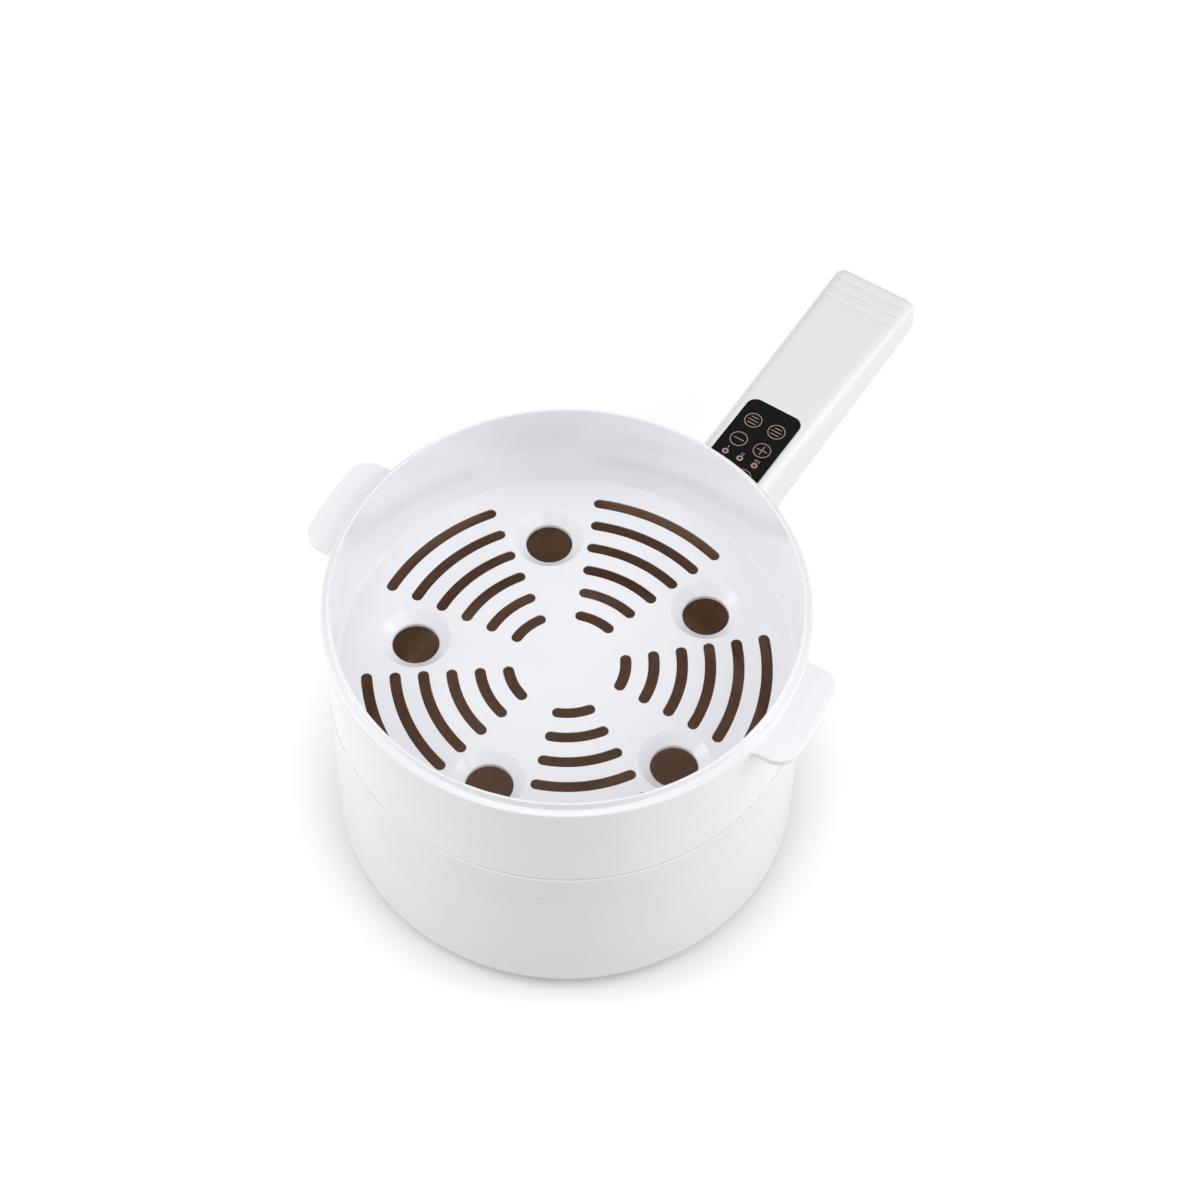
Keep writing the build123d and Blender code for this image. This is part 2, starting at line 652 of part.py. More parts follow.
def handle_bottom(x):
    return Z_GRIP - ROOT_T - (END_T - ROOT_T) * handle_share(x)


def part_height(x):
    """Height of the face where the two handle shells meet."""
    return handle_bottom(x) + PART_H


def handle_section(x, inset):
    half = handle_half_width(x) - inset
    low, high = handle_bottom(x) + inset, Z_GRIP - inset
    bottom, top = BOTTOM_ROUND - inset, TOP_ROUND - inset
    outline = FilletPolyline(
        (-half, low), (half, low), (half, high), (-half, high), radius=[bottom, bottom, top, top], close=True
    )
    return Plane(origin=(x, 0, 0), x_dir=(0, 1, 0), z_dir=(1, 0, 0)) * make_face(outline)


def handle_form(inset):
    """The handle's outer form, or its hollow when inset by the wall."""
    root = SHELL_R - SHELL_WALL - PAD_INNER
    end = HANDLE_END - inset
    form = loft([handle_section(root, inset), handle_section(end, inset)], ruled=True)
    return fillet(form.faces().sort_by(Axis.X)[-1].edges(), END_ROUND - inset)


def below_parting():
    """Everything under the face where the two shells meet."""
    start, end = 0, HANDLE_END + END_W
    corners = [(start, 0), (end, 0), (end, part_height(end)), (start, part_height(start))]
    face = Plane.XZ * make_face(Polyline(*corners, close=True))
    return extrude(face, 2 * END_W, both=True)


def saddle():
    """Room for the pot where the handle meets it."""
    return cylinder(0, 0, 0, Z_LIP, SHELL_R + FIT) + cylinder(0, 0, Z_SPLIT - FIT, Z_LIP, COLLAR_R + FIT)


POWER_START = COLLAR_R + POWER_X
POWER_END = POWER_START + POWER_L
SCREW_ROOT_X = COLLAR_R + ROOT_SCREW_X
HANDLE_SCREWS = (
    (SCREW_ROOT_X, ROOT_SCREW_Y),
    (SCREW_ROOT_X, -ROOT_SCREW_Y),
    (PANEL_END + MIDDLE_SCREW_X, 0.0),
    (POWER_END + END_SCREW_X, END_SCREW_Y),
    (POWER_END + END_SCREW_X, -END_SCREW_Y),
)
Z_TONGUE = part_height(SCREW_ROOT_X)
Z_BOARD = Z_GRIP - PANEL_T - SPRING_H
Z_INLET = (Z_GRIP + handle_bottom(HANDLE_END)) / 2
Z_POWER = handle_bottom(POWER_END) + HANDLE_WALL + POWER_POST
TOUCH_POSTS = [
    (x, side * (PANEL_W / 2 - POST_INSET))
    for x in (PANEL_START + TOUCH_BOARD_MARGIN + POST_INSET, PANEL_END - TOUCH_BOARD_MARGIN - POST_INSET)
    for side in (1, -1)
]
POWER_POSTS = [
    (x, side * (POWER_HALF_W - POWER_POST_INSET))
    for x in (POWER_START + POWER_POST_NEAR, POWER_END - POWER_POST_FAR)
    for side in (1, -1)
]


def screw_face(x):
    """Height where the two bosses of a handle screw meet: on the bracket's tongue, or on the parting."""
    return Z_TONGUE if x == SCREW_ROOT_X else part_height(x)


def screw_seat(x):
    """Height where a handle screw's head bears."""
    return handle_bottom(x) + HEAD_RECESS + HEAD_H


def panel_plate(margin, low, high):
    """The touch panel's outline, grown by a margin."""
    outline = RectangleRounded(PANEL_L + 2 * margin, PANEL_W + 2 * margin, PANEL_ROUND + margin)
    return Pos((PANEL_START + PANEL_END) / 2, 0, low) * extrude(outline, high - low)


def inlet_body(margin, start, end):
    """The mains inlet's outline, grown by a margin."""
    outline = RectangleRounded(2 * (INLET_HALF_W + margin), 2 * (INLET_HALF_H + margin), INLET_ROUND)
    face = Plane(origin=(start, 0, Z_INLET), x_dir=(0, 1, 0), z_dir=(1, 0, 0)) * outline
    return extrude(face, end - start)


def handle_upper():
    form, hollow = handle_form(0), handle_form(HANDLE_WALL)
    bosses = [
        cylinder(x, y, screw_face(x) + (BRACKET_T if x == SCREW_ROOT_X else 0), Z_GRIP, HANDLE_BOSS_R)
        for x, y in HANDLE_SCREWS
    ]
    posts = [cylinder(x, y, Z_BOARD, Z_GRIP - PANEL_T - PANEL_SEAT_T / 2, POST_R) for x, y in TOUCH_POSTS]
    shell = form - hollow - below_parting()
    shell = shell + [boss & form for boss in bosses] + posts
    pilots = [
        cylinder(x, y, Z_BASE, screw_face(x) + THREAD_L + THREAD_RUNOUT, SCREW_R + THREAD_GAP)
        for x, y in HANDLE_SCREWS
    ]
    post_pilots = [
        cylinder(x, y, Z_BASE, Z_BOARD + BOARD_SCREW_GRIP + FIT, BOARD_SCREW_R + THREAD_GAP)
        for x, y in TOUCH_POSTS
    ]
    recess = panel_plate(FIT, Z_GRIP - PANEL_T, Z_GRIP + 1)
    aperture = block(
        (PANEL_START + APERTURE_MARGIN, PANEL_END - APERTURE_MARGIN),
        (-PANEL_W / 2 + POST_INSET + POST_R, PANEL_W / 2 - POST_INSET - POST_R),
        (Z_BOARD, Z_GRIP),
    )
    grooves = [
        Pos(HANDLE_END - GRIP_FIRST - GRIP_PITCH * step, 0, Z_GRIP + GRIP_R - GRIP_DEPTH)
        * Rot(90, 0, 0)
        * Cylinder(GRIP_R, 2 * GRIP_HALF_L)
        for step in range(GRIP_GROOVES)
    ]
    inlet_hole = inlet_body(FIT, HANDLE_END - INLET_L, HANDLE_END + 1)
    return shell - pilots - post_pilots - recess - aperture - grooves - inlet_hole - saddle()


def handle_lower():
    form, hollow = handle_form(0), handle_form(HANDLE_WALL)
    bosses = [cylinder(x, y, Z_BASE, screw_face(x), HANDLE_BOSS_R) for x, y in HANDLE_SCREWS]
    posts = [cylinder(x, y, Z_BASE, Z_POWER, POST_R) for x, y in POWER_POSTS]
    shell = (form - hollow) & below_parting()
    shell = shell + [boss & form for boss in bosses + posts]
    shafts = [cylinder(x, y, Z_BASE, Z_GRIP, SCREW_R + FIT) for x, y in HANDLE_SCREWS]
    heads = [cylinder(x, y, Z_BASE, screw_seat(x), SCREW_HEAD_R + FIT) for x, y in HANDLE_SCREWS]
    post_pilots = [
        cylinder(x, y, Z_POWER - BOARD_SCREW_GRIP - FIT, Z_GRIP, BOARD_SCREW_R + THREAD_GAP)
        for x, y in POWER_POSTS
    ]
    inlet_hole = inlet_body(FIT, HANDLE_END - INLET_L, HANDLE_END + 1)
    return shell - shafts - heads - post_pilots - inlet_hole - saddle()


def handle_screws():
    def one(x, y):
        seat = screw_seat(x)
        return Pos(x, y, seat) * screw(screw_face(x) + THREAD_L - seat, SCREW_R, SCREW_HEAD_R, HEAD_H)

    return group(one(x, y) for x, y in HANDLE_SCREWS)


def handle_bracket():
    """Bent steel plate: screwed to the housing's pad, with a tongue between the handle shells."""
    plate = block(
        (PAD_FACE, PAD_FACE + BRACKET_T), (-BRACKET_HALF_W, BRACKET_HALF_W), (Z_TONGUE, Z_TONGUE + BRACKET_H)
    )
    tongue = block(
        (PAD_FACE, PAD_FACE + BRACKET_T + TONGUE_L),
        (-TONGUE_HALF_W, TONGUE_HALF_W),
        (Z_TONGUE, Z_TONGUE + BRACKET_T),
    )
    through = (PAD_FACE - 1, PAD_FACE + BRACKET_T + 1)
    threads = both_sides(
        lambda side: rod(*through, side * BRACKET_SCREW_Y, Z_WIRES, BRACKET_SCREW_R + THREAD_GAP)
    )
    holes = both_sides(
        lambda side: cylinder(SCREW_ROOT_X, side * ROOT_SCREW_Y, Z_BASE, Z_GRIP, SCREW_R + FIT)
    )
    return plate + tongue - threads - rod(*through, 0, Z_WIRES, WIRE_HOLE_R) - holes


def bracket_screws():
    """Screws from inside the housing through the pad into the bracket."""
    one = Rot(0, 90, 0) * screw(BRACKET_SCREW_L, BRACKET_SCREW_R, BRACKET_SCREW_HEAD_R, BRACKET_SCREW_HEAD_H)
    return group(both_sides(lambda side: Pos(PAD_BACK, side * BRACKET_SCREW_Y, Z_WIRES) * one))


# ---------------------------------------------------------------- touch panel and board
KEYS = [
    (PANEL_END - row, side * KEY_PITCH_Y / 2)
    for row in (KEY_ROW, KEY_ROW + KEY_PITCH_X, LAST_KEY_ROW)
    for side in (1, -1)
]
LAMPS = [(PANEL_END - LAMP_ROW, step * LAMP_PITCH_Y) for step in (1, 0, -1)]


def touch_panel():
    plate = panel_plate(0, Z_GRIP - PANEL_T, Z_GRIP)
    return plate - [cylinder(x, y, Z_GRIP - 2 * PANEL_T, Z_GRIP + 1, LAMP_HOLE_R) for x, y in LAMPS]


def light_windows():
    return group(cylinder(x, y, Z_GRIP - PANEL_T, Z_GRIP, LAMP_HOLE_R) for x, y in LAMPS)


def printed_ring(x, y, radius, line):
    high = Z_GRIP + PRINT_T
    return cylinder(x, y, Z_GRIP, high, radius) - cylinder(x, y, Z_GRIP - 1, high + 1, radius - line)


def printed_bar(x, y, length_x, length_y):
    return Pos(x, y, Z_GRIP + PRINT_T / 2) * Box(length_x, length_y, PRINT_T)


def key_legends():
    """Printed rings round the keys and lamps, a plain sign inside each key, and each lamp's level."""
    rings = [printed_ring(x, y, KEY_RING_R, KEY_LINE) for x, y in KEYS]
    lamps = [printed_ring(x, y, LAMP_RING_R, LAMP_RING_R - LAMP_HOLE_R) for x, y in LAMPS]
    reach = KEY_RING_R - 4 * KEY_LINE
    soup, noodles, minus, plus, power, timer = KEYS
    lines = [
        printed_bar(x + step * reach * 0.7, y, KEY_LINE, 2 * reach * share)
        for x, y in (soup, noodles)
        for step, share in ((-1, 0.8), (0, 1.0), (1, 0.7))
    ]
    signs = [
        printed_bar(*minus, KEY_LINE, 2 * reach),
        printed_bar(*plus, KEY_LINE, 2 * reach) + printed_bar(*plus, 2 * reach, KEY_LINE),
        printed_ring(*power, reach * 0.8, KEY_LINE),
        printed_ring(*timer, reach * 0.9, KEY_LINE),
        printed_bar(timer[0] + reach * 0.2, timer[1], reach * 0.5, KEY_LINE),
    ]
    levels = [
        printed_bar(x + LEVEL_MARK_X, y + (stroke - count / 2) * LEVEL_MARK_PITCH, LEVEL_MARK_L, KEY_LINE)
        for count, (x, y) in enumerate(LAMPS)
        for stroke in range(count + 1)
    ]
    return group(rings + lamps + lines + signs + levels)


def touch_board():
    board = block(
        (PANEL_START + TOUCH_BOARD_MARGIN, PANEL_END - TOUCH_BOARD_MARGIN),
        (-PANEL_W / 2 + FIT, PANEL_W / 2 - FIT),
        (Z_BOARD - BOARD_T, Z_BOARD),
    )
    return board - [cylinder(x, y, Z_BASE, Z_GRIP, BOARD_SCREW_HOLE_R) for x, y in TOUCH_POSTS]


def touch_springs():
    """Coil springs that carry each key's touch from the panel to the board."""
    height = SPRING_H - 2 * SPRING_WIRE_R
    coil = Helix(SPRING_PITCH, height, SPRING_R)
    section = Plane(origin=coil @ 0, z_dir=coil % 0) * Circle(SPRING_WIRE_R)
    spring = sweep(section, coil, is_frenet=True)
    return group(Pos(x, y, Z_BOARD + SPRING_WIRE_R) * spring for x, y in KEYS)


def indicator_leds():
    def lamp(x, y):
        body = cylinder(x, y, Z_BOARD, Z_BOARD + SPRING_H - LED_GAP, LAMP_RING_R)
        return fillet(body.edges().group_by(Axis.Z)[-1], LAMP_RING_R * 0.9)

    return group(lamp(x, y) for x, y in LAMPS)


CONNECTOR_MIDDLE = PANEL_START + CONNECTOR_X
Z_CONNECTOR = Z_BOARD - BOARD_T - CONNECTOR_SIZE[2] / 2


def touch_chips():
    """Touch controller and the wire connector under the touch board."""
    def under_board(x, size):
        return Pos(x, 0, Z_BOARD - BOARD_T - size[2] / 2) * Box(*size)

    connector = under_board(CONNECTOR_MIDDLE, CONNECTOR_SIZE)
    return group([connector, under_board(CONNECTOR_MIDDLE + CHIP_X, CHIP_SIZE)])


def board_screws():
    """Small screws of both boards."""
    small = screw(BOARD_T + BOARD_SCREW_GRIP, BOARD_SCREW_R, BOARD_SCREW_HEAD_R, BOARD_SCREW_HEAD_H)
    up = [Pos(x, y, Z_BOARD - BOARD_T) * small for x, y in TOUCH_POSTS]
    down = [Pos(x, y, Z_POWER + BOARD_T) * Rot(180, 0, 0) * small for x, y in POWER_POSTS]
    return group(up + down)


# ---------------------------------------------------------------- power board and inlet
def power_board():
    board = block((POWER_START, POWER_END), (-POWER_HALF_W, POWER_HALF_W), (Z_POWER, Z_POWER + BOARD_T))
    return board - [cylinder(x, y, Z_BASE, Z_GRIP, BOARD_SCREW_HOLE_R) for x, y in POWER_POSTS]


def on_power_board(along, across, size):
    """Component of a given size, standing on the power board."""
    return Pos(POWER_START + along, across, Z_POWER + BOARD_T + size[2] / 2) * Box(*size)


def lead_block():
    return on_power_board(BLOCK_INSET, 0, BLOCK_SIZE)


def relay():
    return on_power_board(*RELAY_PLACE, RELAY_SIZE)


def capacitor():
    return on_power_board(*CAPACITOR_PLACE, CAPACITOR_SIZE)


INLET_FACE = HANDLE_END - INLET_RECESS
INLET_BACK = INLET_FACE - INLET_L


def mains_inlet():
    """Two-pin appliance inlet with its recess, and wings behind the handle's end wall."""
    body = inlet_body(0, INLET_BACK, INLET_FACE)
    wing_end = HANDLE_END - HANDLE_WALL
    wings = block(
        (wing_end - INLET_WING_T, wing_end),
        (-INLET_HALF_W - INLET_WING, INLET_HALF_W + INLET_WING),
        (Z_INLET - INLET_HALF_H + INLET_WING_INSET, Z_INLET + INLET_HALF_H - INLET_WING_INSET),
    )
    mouth = Plane(origin=(INLET_FACE - INLET_DEPTH, 0, Z_INLET), x_dir=(0, 1, 0), z_dir=(1, 0, 0))
    recess = extrude(mouth * SlotOverall(INLET_OPEN_W, INLET_OPEN_H), INLET_DEPTH + 1)
    pin_hole = INLET_PIN_R + THREAD_GAP
    holes = both_sides(
        lambda side: rod(INLET_BACK - 1, INLET_FACE, side * INLET_PIN_SPACING / 2, Z_INLET, pin_hole)
    )
    return body + wings - recess - holes


def inlet_pins():
    start, end = INLET_BACK - INLET_TAIL, INLET_FACE - INLET_DEPTH + INLET_PIN_PROUD
    return group(
        both_sides(lambda side: rod(start, end, side * INLET_PIN_SPACING / 2, Z_INLET, INLET_PIN_R))
    )


# ---------------------------------------------------------------- wiring
RISER_X = (POT_R + PAD_BACK) / 2
BLOCK_FACE = POWER_START + BLOCK_INSET - BLOCK_SIZE[0] / 2
Z_BLOCK = Z_POWER + BOARD_T + BLOCK_SIZE[2] / 2


def heater_leads():
    """From the heating tube's terminals up beside the pot and through the handle to the power board."""
    def lead(side):
        start = along_stub(side, TUBE_STUB + BEAD_L + TAIL_L)
        near = side * LEAD_SPREAD
        turn_x = start[0] + (abs(start[1]) - LEAD_SPREAD) * math.tan(math.radians(TUBE_GAP_ANGLE))
        low, splay_x = Z_WIRES - WIRE_DROP, SCREW_ROOT_X + LEAD_SPLAY
        points = [
            start,
            (turn_x, near, Z_TUBE),
            (RISER_X, near, Z_TUBE),
            (RISER_X, near, low),
            (splay_x, near, low),
            (splay_x + LEAD_SPLAY_L, side * LEAD_Y, low + LEAD_SPLAY_RISE),
            (BLOCK_FACE - LEAD_LEVEL_L, side * LEAD_Y, Z_BLOCK),
            (BLOCK_FACE, side * LEAD_Y, Z_BLOCK),
        ]
        return wire(points, LEAD_R, [2.0, 6.0, 4.0, 12.0, 12.0, 10.0])

    return group(both_sides(lead))


def sensor_lead():
    """From the temperature sensor to the connector on the touch board."""
    low, high = Z_DISC - SENSOR_H / 2, Z_WIRES + WIRE_RISE
    connector = CONNECTOR_MIDDLE - CONNECTOR_SIZE[0] / 2
    level, rise = SENSOR_H, Z_CONNECTOR - high
    points = [
        (SENSOR_OFFSET + SENSOR_R, 0, low),
        (RISER_X, 0, low),
        (RISER_X, 0, high),
        (connector - level - rise, 0, high),
        (connector - level, 0, Z_CONNECTOR),
        (connector, 0, Z_CONNECTOR),
    ]
    return wire(points, SENSOR_LEAD_R, [6.0, 4.0, 5.0, 5.0])


def inlet_leads():
    """From the inlet's pins down to the power board."""
    def lead(side):
        y = side * INLET_PIN_SPACING / 2
        down_x = POWER_END - POWER_POST_FAR
        points = [(INLET_BACK - INLET_TAIL, y, Z_INLET), (down_x, y, Z_INLET), (down_x, y, Z_POWER + BOARD_T)]
        return wire(points, INLET_LEAD_R, [2.5])

    return group(both_sides(lead))


def board_link():
    """Cable between the two boards, past the middle screw's boss."""
    low = Z_POWER + BOARD_T + LINK_CLEARANCE
    points = [
        (CONNECTOR_MIDDLE, 0, Z_CONNECTOR - CONNECTOR_SIZE[2] / 2),
        (CONNECTOR_MIDDLE, 0, low),
        (CONNECTOR_MIDDLE + LEAD_SPLAY_L, LINK_Y, low),
        (BLOCK_FACE - LEAD_LEVEL_L, LINK_Y, Z_BLOCK),
        (BLOCK_FACE, LINK_Y, Z_BLOCK),
    ]
    return wire(points, LINK_R, [2.0, 8.0, 5.0])


# ---------------------------------------------------------------- writing
PIECES = (
    steamer_basket,
    rim_collar,
    outer_shell,
    inner_pot,
    pot_seal,
    heating_disc,
    heating_tube,
    tube_terminals,
    heat_shield,
    tie_studs,
    tie_nuts,
    shield_screws,
    thermostat,
    temperature_sensor,
    sensor_strap,
    strap_screw,
    thermal_fuse,
    fuse_clip,
    base_cover,
    base_feet,
    cover_screws,
    handle_upper,
    handle_lower,
    handle_screws,
    handle_bracket,
    bracket_screws,
    touch_panel,
    light_windows,
    key_legends,
    touch_board,
    touch_springs,
    indicator_leds,
    touch_chips,
    board_screws,
    power_board,
    lead_block,
    relay,
    capacitor,
    mains_inlet,
    inlet_pins,
    heater_leads,
    sensor_lead,
    inlet_leads,
    board_link,
)

os.makedirs("parts", exist_ok=True)
for piece in PIECES:
    export_step(piece(), "parts/" + piece.__name__ + ".step")
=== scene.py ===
import math

import bmesh
import bpy
from bpy.props import FloatProperty, FloatVectorProperty, PointerProperty
from mathutils import Matrix, Vector


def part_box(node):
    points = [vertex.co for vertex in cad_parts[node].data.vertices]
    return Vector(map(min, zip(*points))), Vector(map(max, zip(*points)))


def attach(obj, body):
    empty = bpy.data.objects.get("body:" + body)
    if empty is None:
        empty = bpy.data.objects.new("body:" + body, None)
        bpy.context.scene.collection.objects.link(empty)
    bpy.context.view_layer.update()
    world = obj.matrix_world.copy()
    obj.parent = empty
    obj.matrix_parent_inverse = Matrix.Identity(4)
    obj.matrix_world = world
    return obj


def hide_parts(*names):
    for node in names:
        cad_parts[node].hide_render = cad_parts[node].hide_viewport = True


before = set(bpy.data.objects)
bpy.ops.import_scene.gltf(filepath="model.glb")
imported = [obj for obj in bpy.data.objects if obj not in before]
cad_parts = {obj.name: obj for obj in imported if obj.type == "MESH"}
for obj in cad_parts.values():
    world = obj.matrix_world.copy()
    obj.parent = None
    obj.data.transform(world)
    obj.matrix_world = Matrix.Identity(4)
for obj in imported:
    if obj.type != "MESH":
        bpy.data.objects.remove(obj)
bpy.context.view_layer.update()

bl_info = {
    "name": "Electric hot pot with steamer basket",
    "version": (1, 0, 0),
    "blender": (4, 5, 0),
    "location": "View3D > Sidebar > Hot pot",
    "description": "Builds the finished surfaces of an electric hot pot around its packed model",
    "category": "Object",
}

MM = 0.001

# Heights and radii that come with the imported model
BASKET_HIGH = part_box("steamer_basket")[1]
COLLAR_LOW, COLLAR_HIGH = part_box("rim_collar")
SHELL_LOW, SHELL_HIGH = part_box("outer_shell")
POT_LOW, POT_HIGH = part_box("inner_pot")
Z_BASE = SHELL_LOW[2]
Z_SPLIT = SHELL_HIGH[2]
Z_POT = POT_LOW[2]
Z_FLANGE = POT_HIGH[2]
Z_UPSTAND = COLLAR_HIGH[2]
Z_LIP = BASKET_HIGH[2]
COLLAR_R = -COLLAR_LOW[0]
SHELL_R = SHELL_HIGH[1]

# Distances in metres within which points or levels count as one
MERGE = 1e-7
NODE_MERGE = 1e-6
SAME_LEVEL = 1e-6

# Angles between two faces
FLAT_ANGLE = math.radians(0.5)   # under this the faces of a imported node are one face
SHARP_ANGLE = math.radians(32)   # over this the shading breaks
BROKEN_ANGLE = math.radians(40)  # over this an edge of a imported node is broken

# Basket: lengths in metres, and counts
BASKET_TURN = math.radians(4.3)  # the basket sits turned a little against the handle
LIP_H = 4.0 * MM
LIP_W = 1.1 * MM
LEDGE_W = 3.0 * MM
BASKET_DEPTH = 44.5 * MM
SKIRT_H = 7.2 * MM
FLOOR_T = 2.2 * MM
BASKET_DRAFT = 0.5 * MM   # how far the outer wall runs in at its foot, so the collar's edge shows
BORE_DRAFT = 0.4 * MM
WALL_FOOT_ROUND = 0.2 * MM
LIP_FOOT_ROUND = 0.25 * MM
NEST_GAP = 0.4 * MM       # from the skirt to the collar's upstand
SEAT_W = 4.1 * MM
SEAM_GAP_DEPTH = 1.3 * MM
FLOOR_CORNER = 1.2 * MM
FLOOR_EDGE_W = 1.0 * MM   # flat floor left beside the corner, where the slotted face starts
Z_LEDGE = Z_LIP - LIP_H
Z_FLOOR = Z_LEDGE - BASKET_DEPTH
Z_SEAT = Z_FLOOR - SKIRT_H
UPSTAND_R = COLLAR_R - SEAT_W

SLOT_GROUPS = 5
SLOT_FIRST_R = 24.63 * MM
SLOT_PITCH = 11.81 * MM
SLOT_HALF_W = 2.36 * MM
SLOT_DRAFT = 0.9 * MM  # how much wider each side is at the underside
SLOT_STEP = 1.6 * MM   # length of the straight runs along a slot's curve
SLOT_END_STEPS = 12
SLOT_ROUND_STEPS = 4
SLOT_HALF_ANGLES = (15.6, 17.3, 18.2, 18.75, 19.1, 19.6)  # degrees, from the innermost row out

EGG_PITCH_R = 64.83 * MM
EGG_HOLE_R = 9.94 * MM
EGG_DISH_R = 15.0 * MM
EGG_DISH_DEPTH = 4.4 * MM
EGG_DISH_WALL = 1.9 * MM
GATE_MARK_R = 1.3 * MM
GATE_MARK_DEPTH = 0.3 * MM
GATE_MARK_ROUND = 0.1 * MM
GATE_PIP_R = 0.45 * MM   # stub left standing in the dimple
GATE_PIP_TAPER = 0.1 * MM
GATE_PIP_ROUND = 0.05 * MM
GATE_PIP_H = 0.24 * MM

EAR_REACH = 14.0 * MM   # from the collar's radius to the middle of the bowed end
EAR_W = 48.6 * MM
EAR_T = 3.2 * MM
EAR_DROP = 2.8 * MM     # from the ledge down to the ear's top
EAR_ROUND = 9.0 * MM    # corners of an ear, seen from above
EAR_BOW_R = 150.0 * MM
EAR_WEB_R = 3.0 * MM    # hollow corner between an ear and the wall
EAR_ROOT_X = 96.6 * MM  # straight root of the ears, inside the wall
EAR_SINK = 0.1 * MM     # how far the hollow corners run into the wall
EAR_WEB_STEPS = 6
EAR_CORNER_STEPS = 10
EAR_BOW_STEPS = 12

# Collar, housing and pot: lengths in metres, and counts
COLLAR_WALL = 2.6 * MM
SHELL_WALL = 2.4 * MM
SHELL_ROUND = 8.0 * MM
UPSTAND_WALL = 2.5 * MM
SPIGOT_H = 3.0 * MM       # the collar's spigot goes this far into the housing
SPIGOT_WALL = 2.1 * MM
FIT = 0.15 * MM           # play between pieces that go into each other
INNER_ROUND = 0.4 * MM    # edges that the basket or the housing covers
INNER_CORNER = 0.6 * MM
SEAT_ROUND = 0.2 * MM     # corner between the collar's seat and its upstand
RIM_ROUND = 0.3 * MM      # edges of the openings and of the flange
BASE_BAND = 7.0 * MM      # flat rim that is left around the base cover
RING_LEDGE = 5.3 * MM     # what the cover lies against
COVER_T = 2.2 * MM
RING_T = 2.2 * MM
BOSS_COUNT = 8
BOSS_H = 4.8 * MM
BOSS_R = 3.5 * MM
PILOT_R = 1.25 * MM
SEAL_W = 2.8 * MM         # gap that the seal fills around the pot
POT_WALL = 1.6 * MM
POT_CORNER = 8.0 * MM
FLANGE_ROUND = 0.54 * MM  # outer edge of the flange
BORE_ROUND = 0.96 * MM    # where the flange turns into the bore
PAD_HALF_W = 15.5 * MM    # thick place in the housing's wall behind the handle
PAD_H = 15.0 * MM
PAD_DEPTH = 6.8 * MM

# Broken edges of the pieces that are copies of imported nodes, in metres
PANEL_EDGE = 0.12 * MM
COVER_EDGE = 0.3 * MM
FOOT_EDGE = 0.2 * MM

# Finishes
CLOUD_SIZE = 30          # size of a finish's broad clouds, in grains
LEAST_ROUGHNESS = 0.02
SPECK_CELL = 1.6 * MM    # room that each speck of the coating has
SPECK_FULL_R = 0.16      # a speck has its full colour up to here, in cells
SPECK_END_R = 0.24       # and ends here
SPECK_DARK_TO = 0.45     # a cell's chance value up to which its speck is dark
SPECK_PALE_FROM = 0.55   # and from which it is pale
DARK_SHARE = 0.6         # of the coating's own colour
PALE_SHARE = 1.4


# ---------------------------------------------------------------- properties
def linear(code):
    """Linear RGBA of an sRGB hex colour."""
    channels = [int(code[start:start + 2], 16) / 255 for start in (1, 3, 5)]
    return [c / 12.92 if c <= 0.04045 else ((c + 0.055) / 1.055) ** 2.4 for c in channels] + [1.0]


def length(name, description, default):
    """Length that a user can change, given in metres."""
    return FloatProperty(
        name=name, description=description, default=default, min=0, precision=5, unit="LENGTH"
    )


def power(name, description, default):
    """Power of a lamp that a user can change, given in watts."""
    return FloatProperty(name=name, description=description, default=default, min=0, unit="POWER")


def strength(name, description, default):
    """Strength of a glow that a user can change."""
    return FloatProperty(name=name, description=description, default=default, min=0)


def colour(name, description, code):
    """Colour that a user can change, given as sRGB hex."""
    return FloatVectorProperty(
        name=name, description=description, default=linear(code), size=4, min=0, max=1, subtype="COLOR"
    )


class HotPotSizes(bpy.types.PropertyGroup):
    """Roundings and fine sizes of the moulded pieces."""
    seam_round: length("Seam rounding", "Rounded edge of the collar under the basket", 0.6 * MM)
    seam_gap: length("Seam gap", "Height of the shadow gap under the basket's wall", 0.9 * MM)
    joint_round: length("Joint rounding", "Rounded edges where the collar meets the housing", 0.55 * MM)
    ledge_round: length("Ledge rounding", "Outer edge of the basket's ledge", 0.9 * MM)
    lip_round: length("Lip rounding", "Rounding of the basket's raised lip", 0.45 * MM)
    slot_round: length("Slot rounding", "Rounded edge of the slots in the basket's floor", 0.2 * MM)
    dish_round: length("Egg seat rounding", "Rounding where an egg seat meets the floor", 0.5 * MM)
    ear_top_round: length("Ear top edge", "Rounded upper edge of the basket's ears", 0.4 * MM)
    ear_low_round: length("Ear lower edge", "Rounded lower edge of the basket's ears", 0.35 * MM)


class HotPotColours(bpy.types.PropertyGroup):
    """Colours of the finishes that show."""
    basket: colour("Basket", "White polypropylene of the basket", "#F8F9FC")
    housing: colour("Housing", "White ABS of the housing", "#F3F3F6")
    handle: colour("Handle", "White ABS of the handle", "#EFEFF2")
    coating: colour("Pot coating", "Brown non-stick coating of the pot", "#B8967F")
    panel: colour("Touch panel", "Black acrylic of the touch panel", "#050506")
    signs: colour("Printed signs", "Copper ink of the printed signs", "#BDA190")


class HotPotStudio(bpy.types.PropertyGroup):
    """Camera, lamps and floor."""
    distance: length("Camera distance", "From the camera to the point it was set up around", 1.291)
    left: power("Left lamp", "Power of the left softbox", 8.1)
    right: power("Right lamp", "Power of the right softbox", 7.4)
    near_left: power("Near left lamp", "Power of the high lamp near the camera's left", 2.8)
    near_right: power("Near right lamp", "Power of the high lamp near the camera's right", 3.2)
    sky: strength("Sky", "Strength of the even light around", 0.4)
    glow: strength("Floor glow", "How far the floor is lifted to white", 0.48)


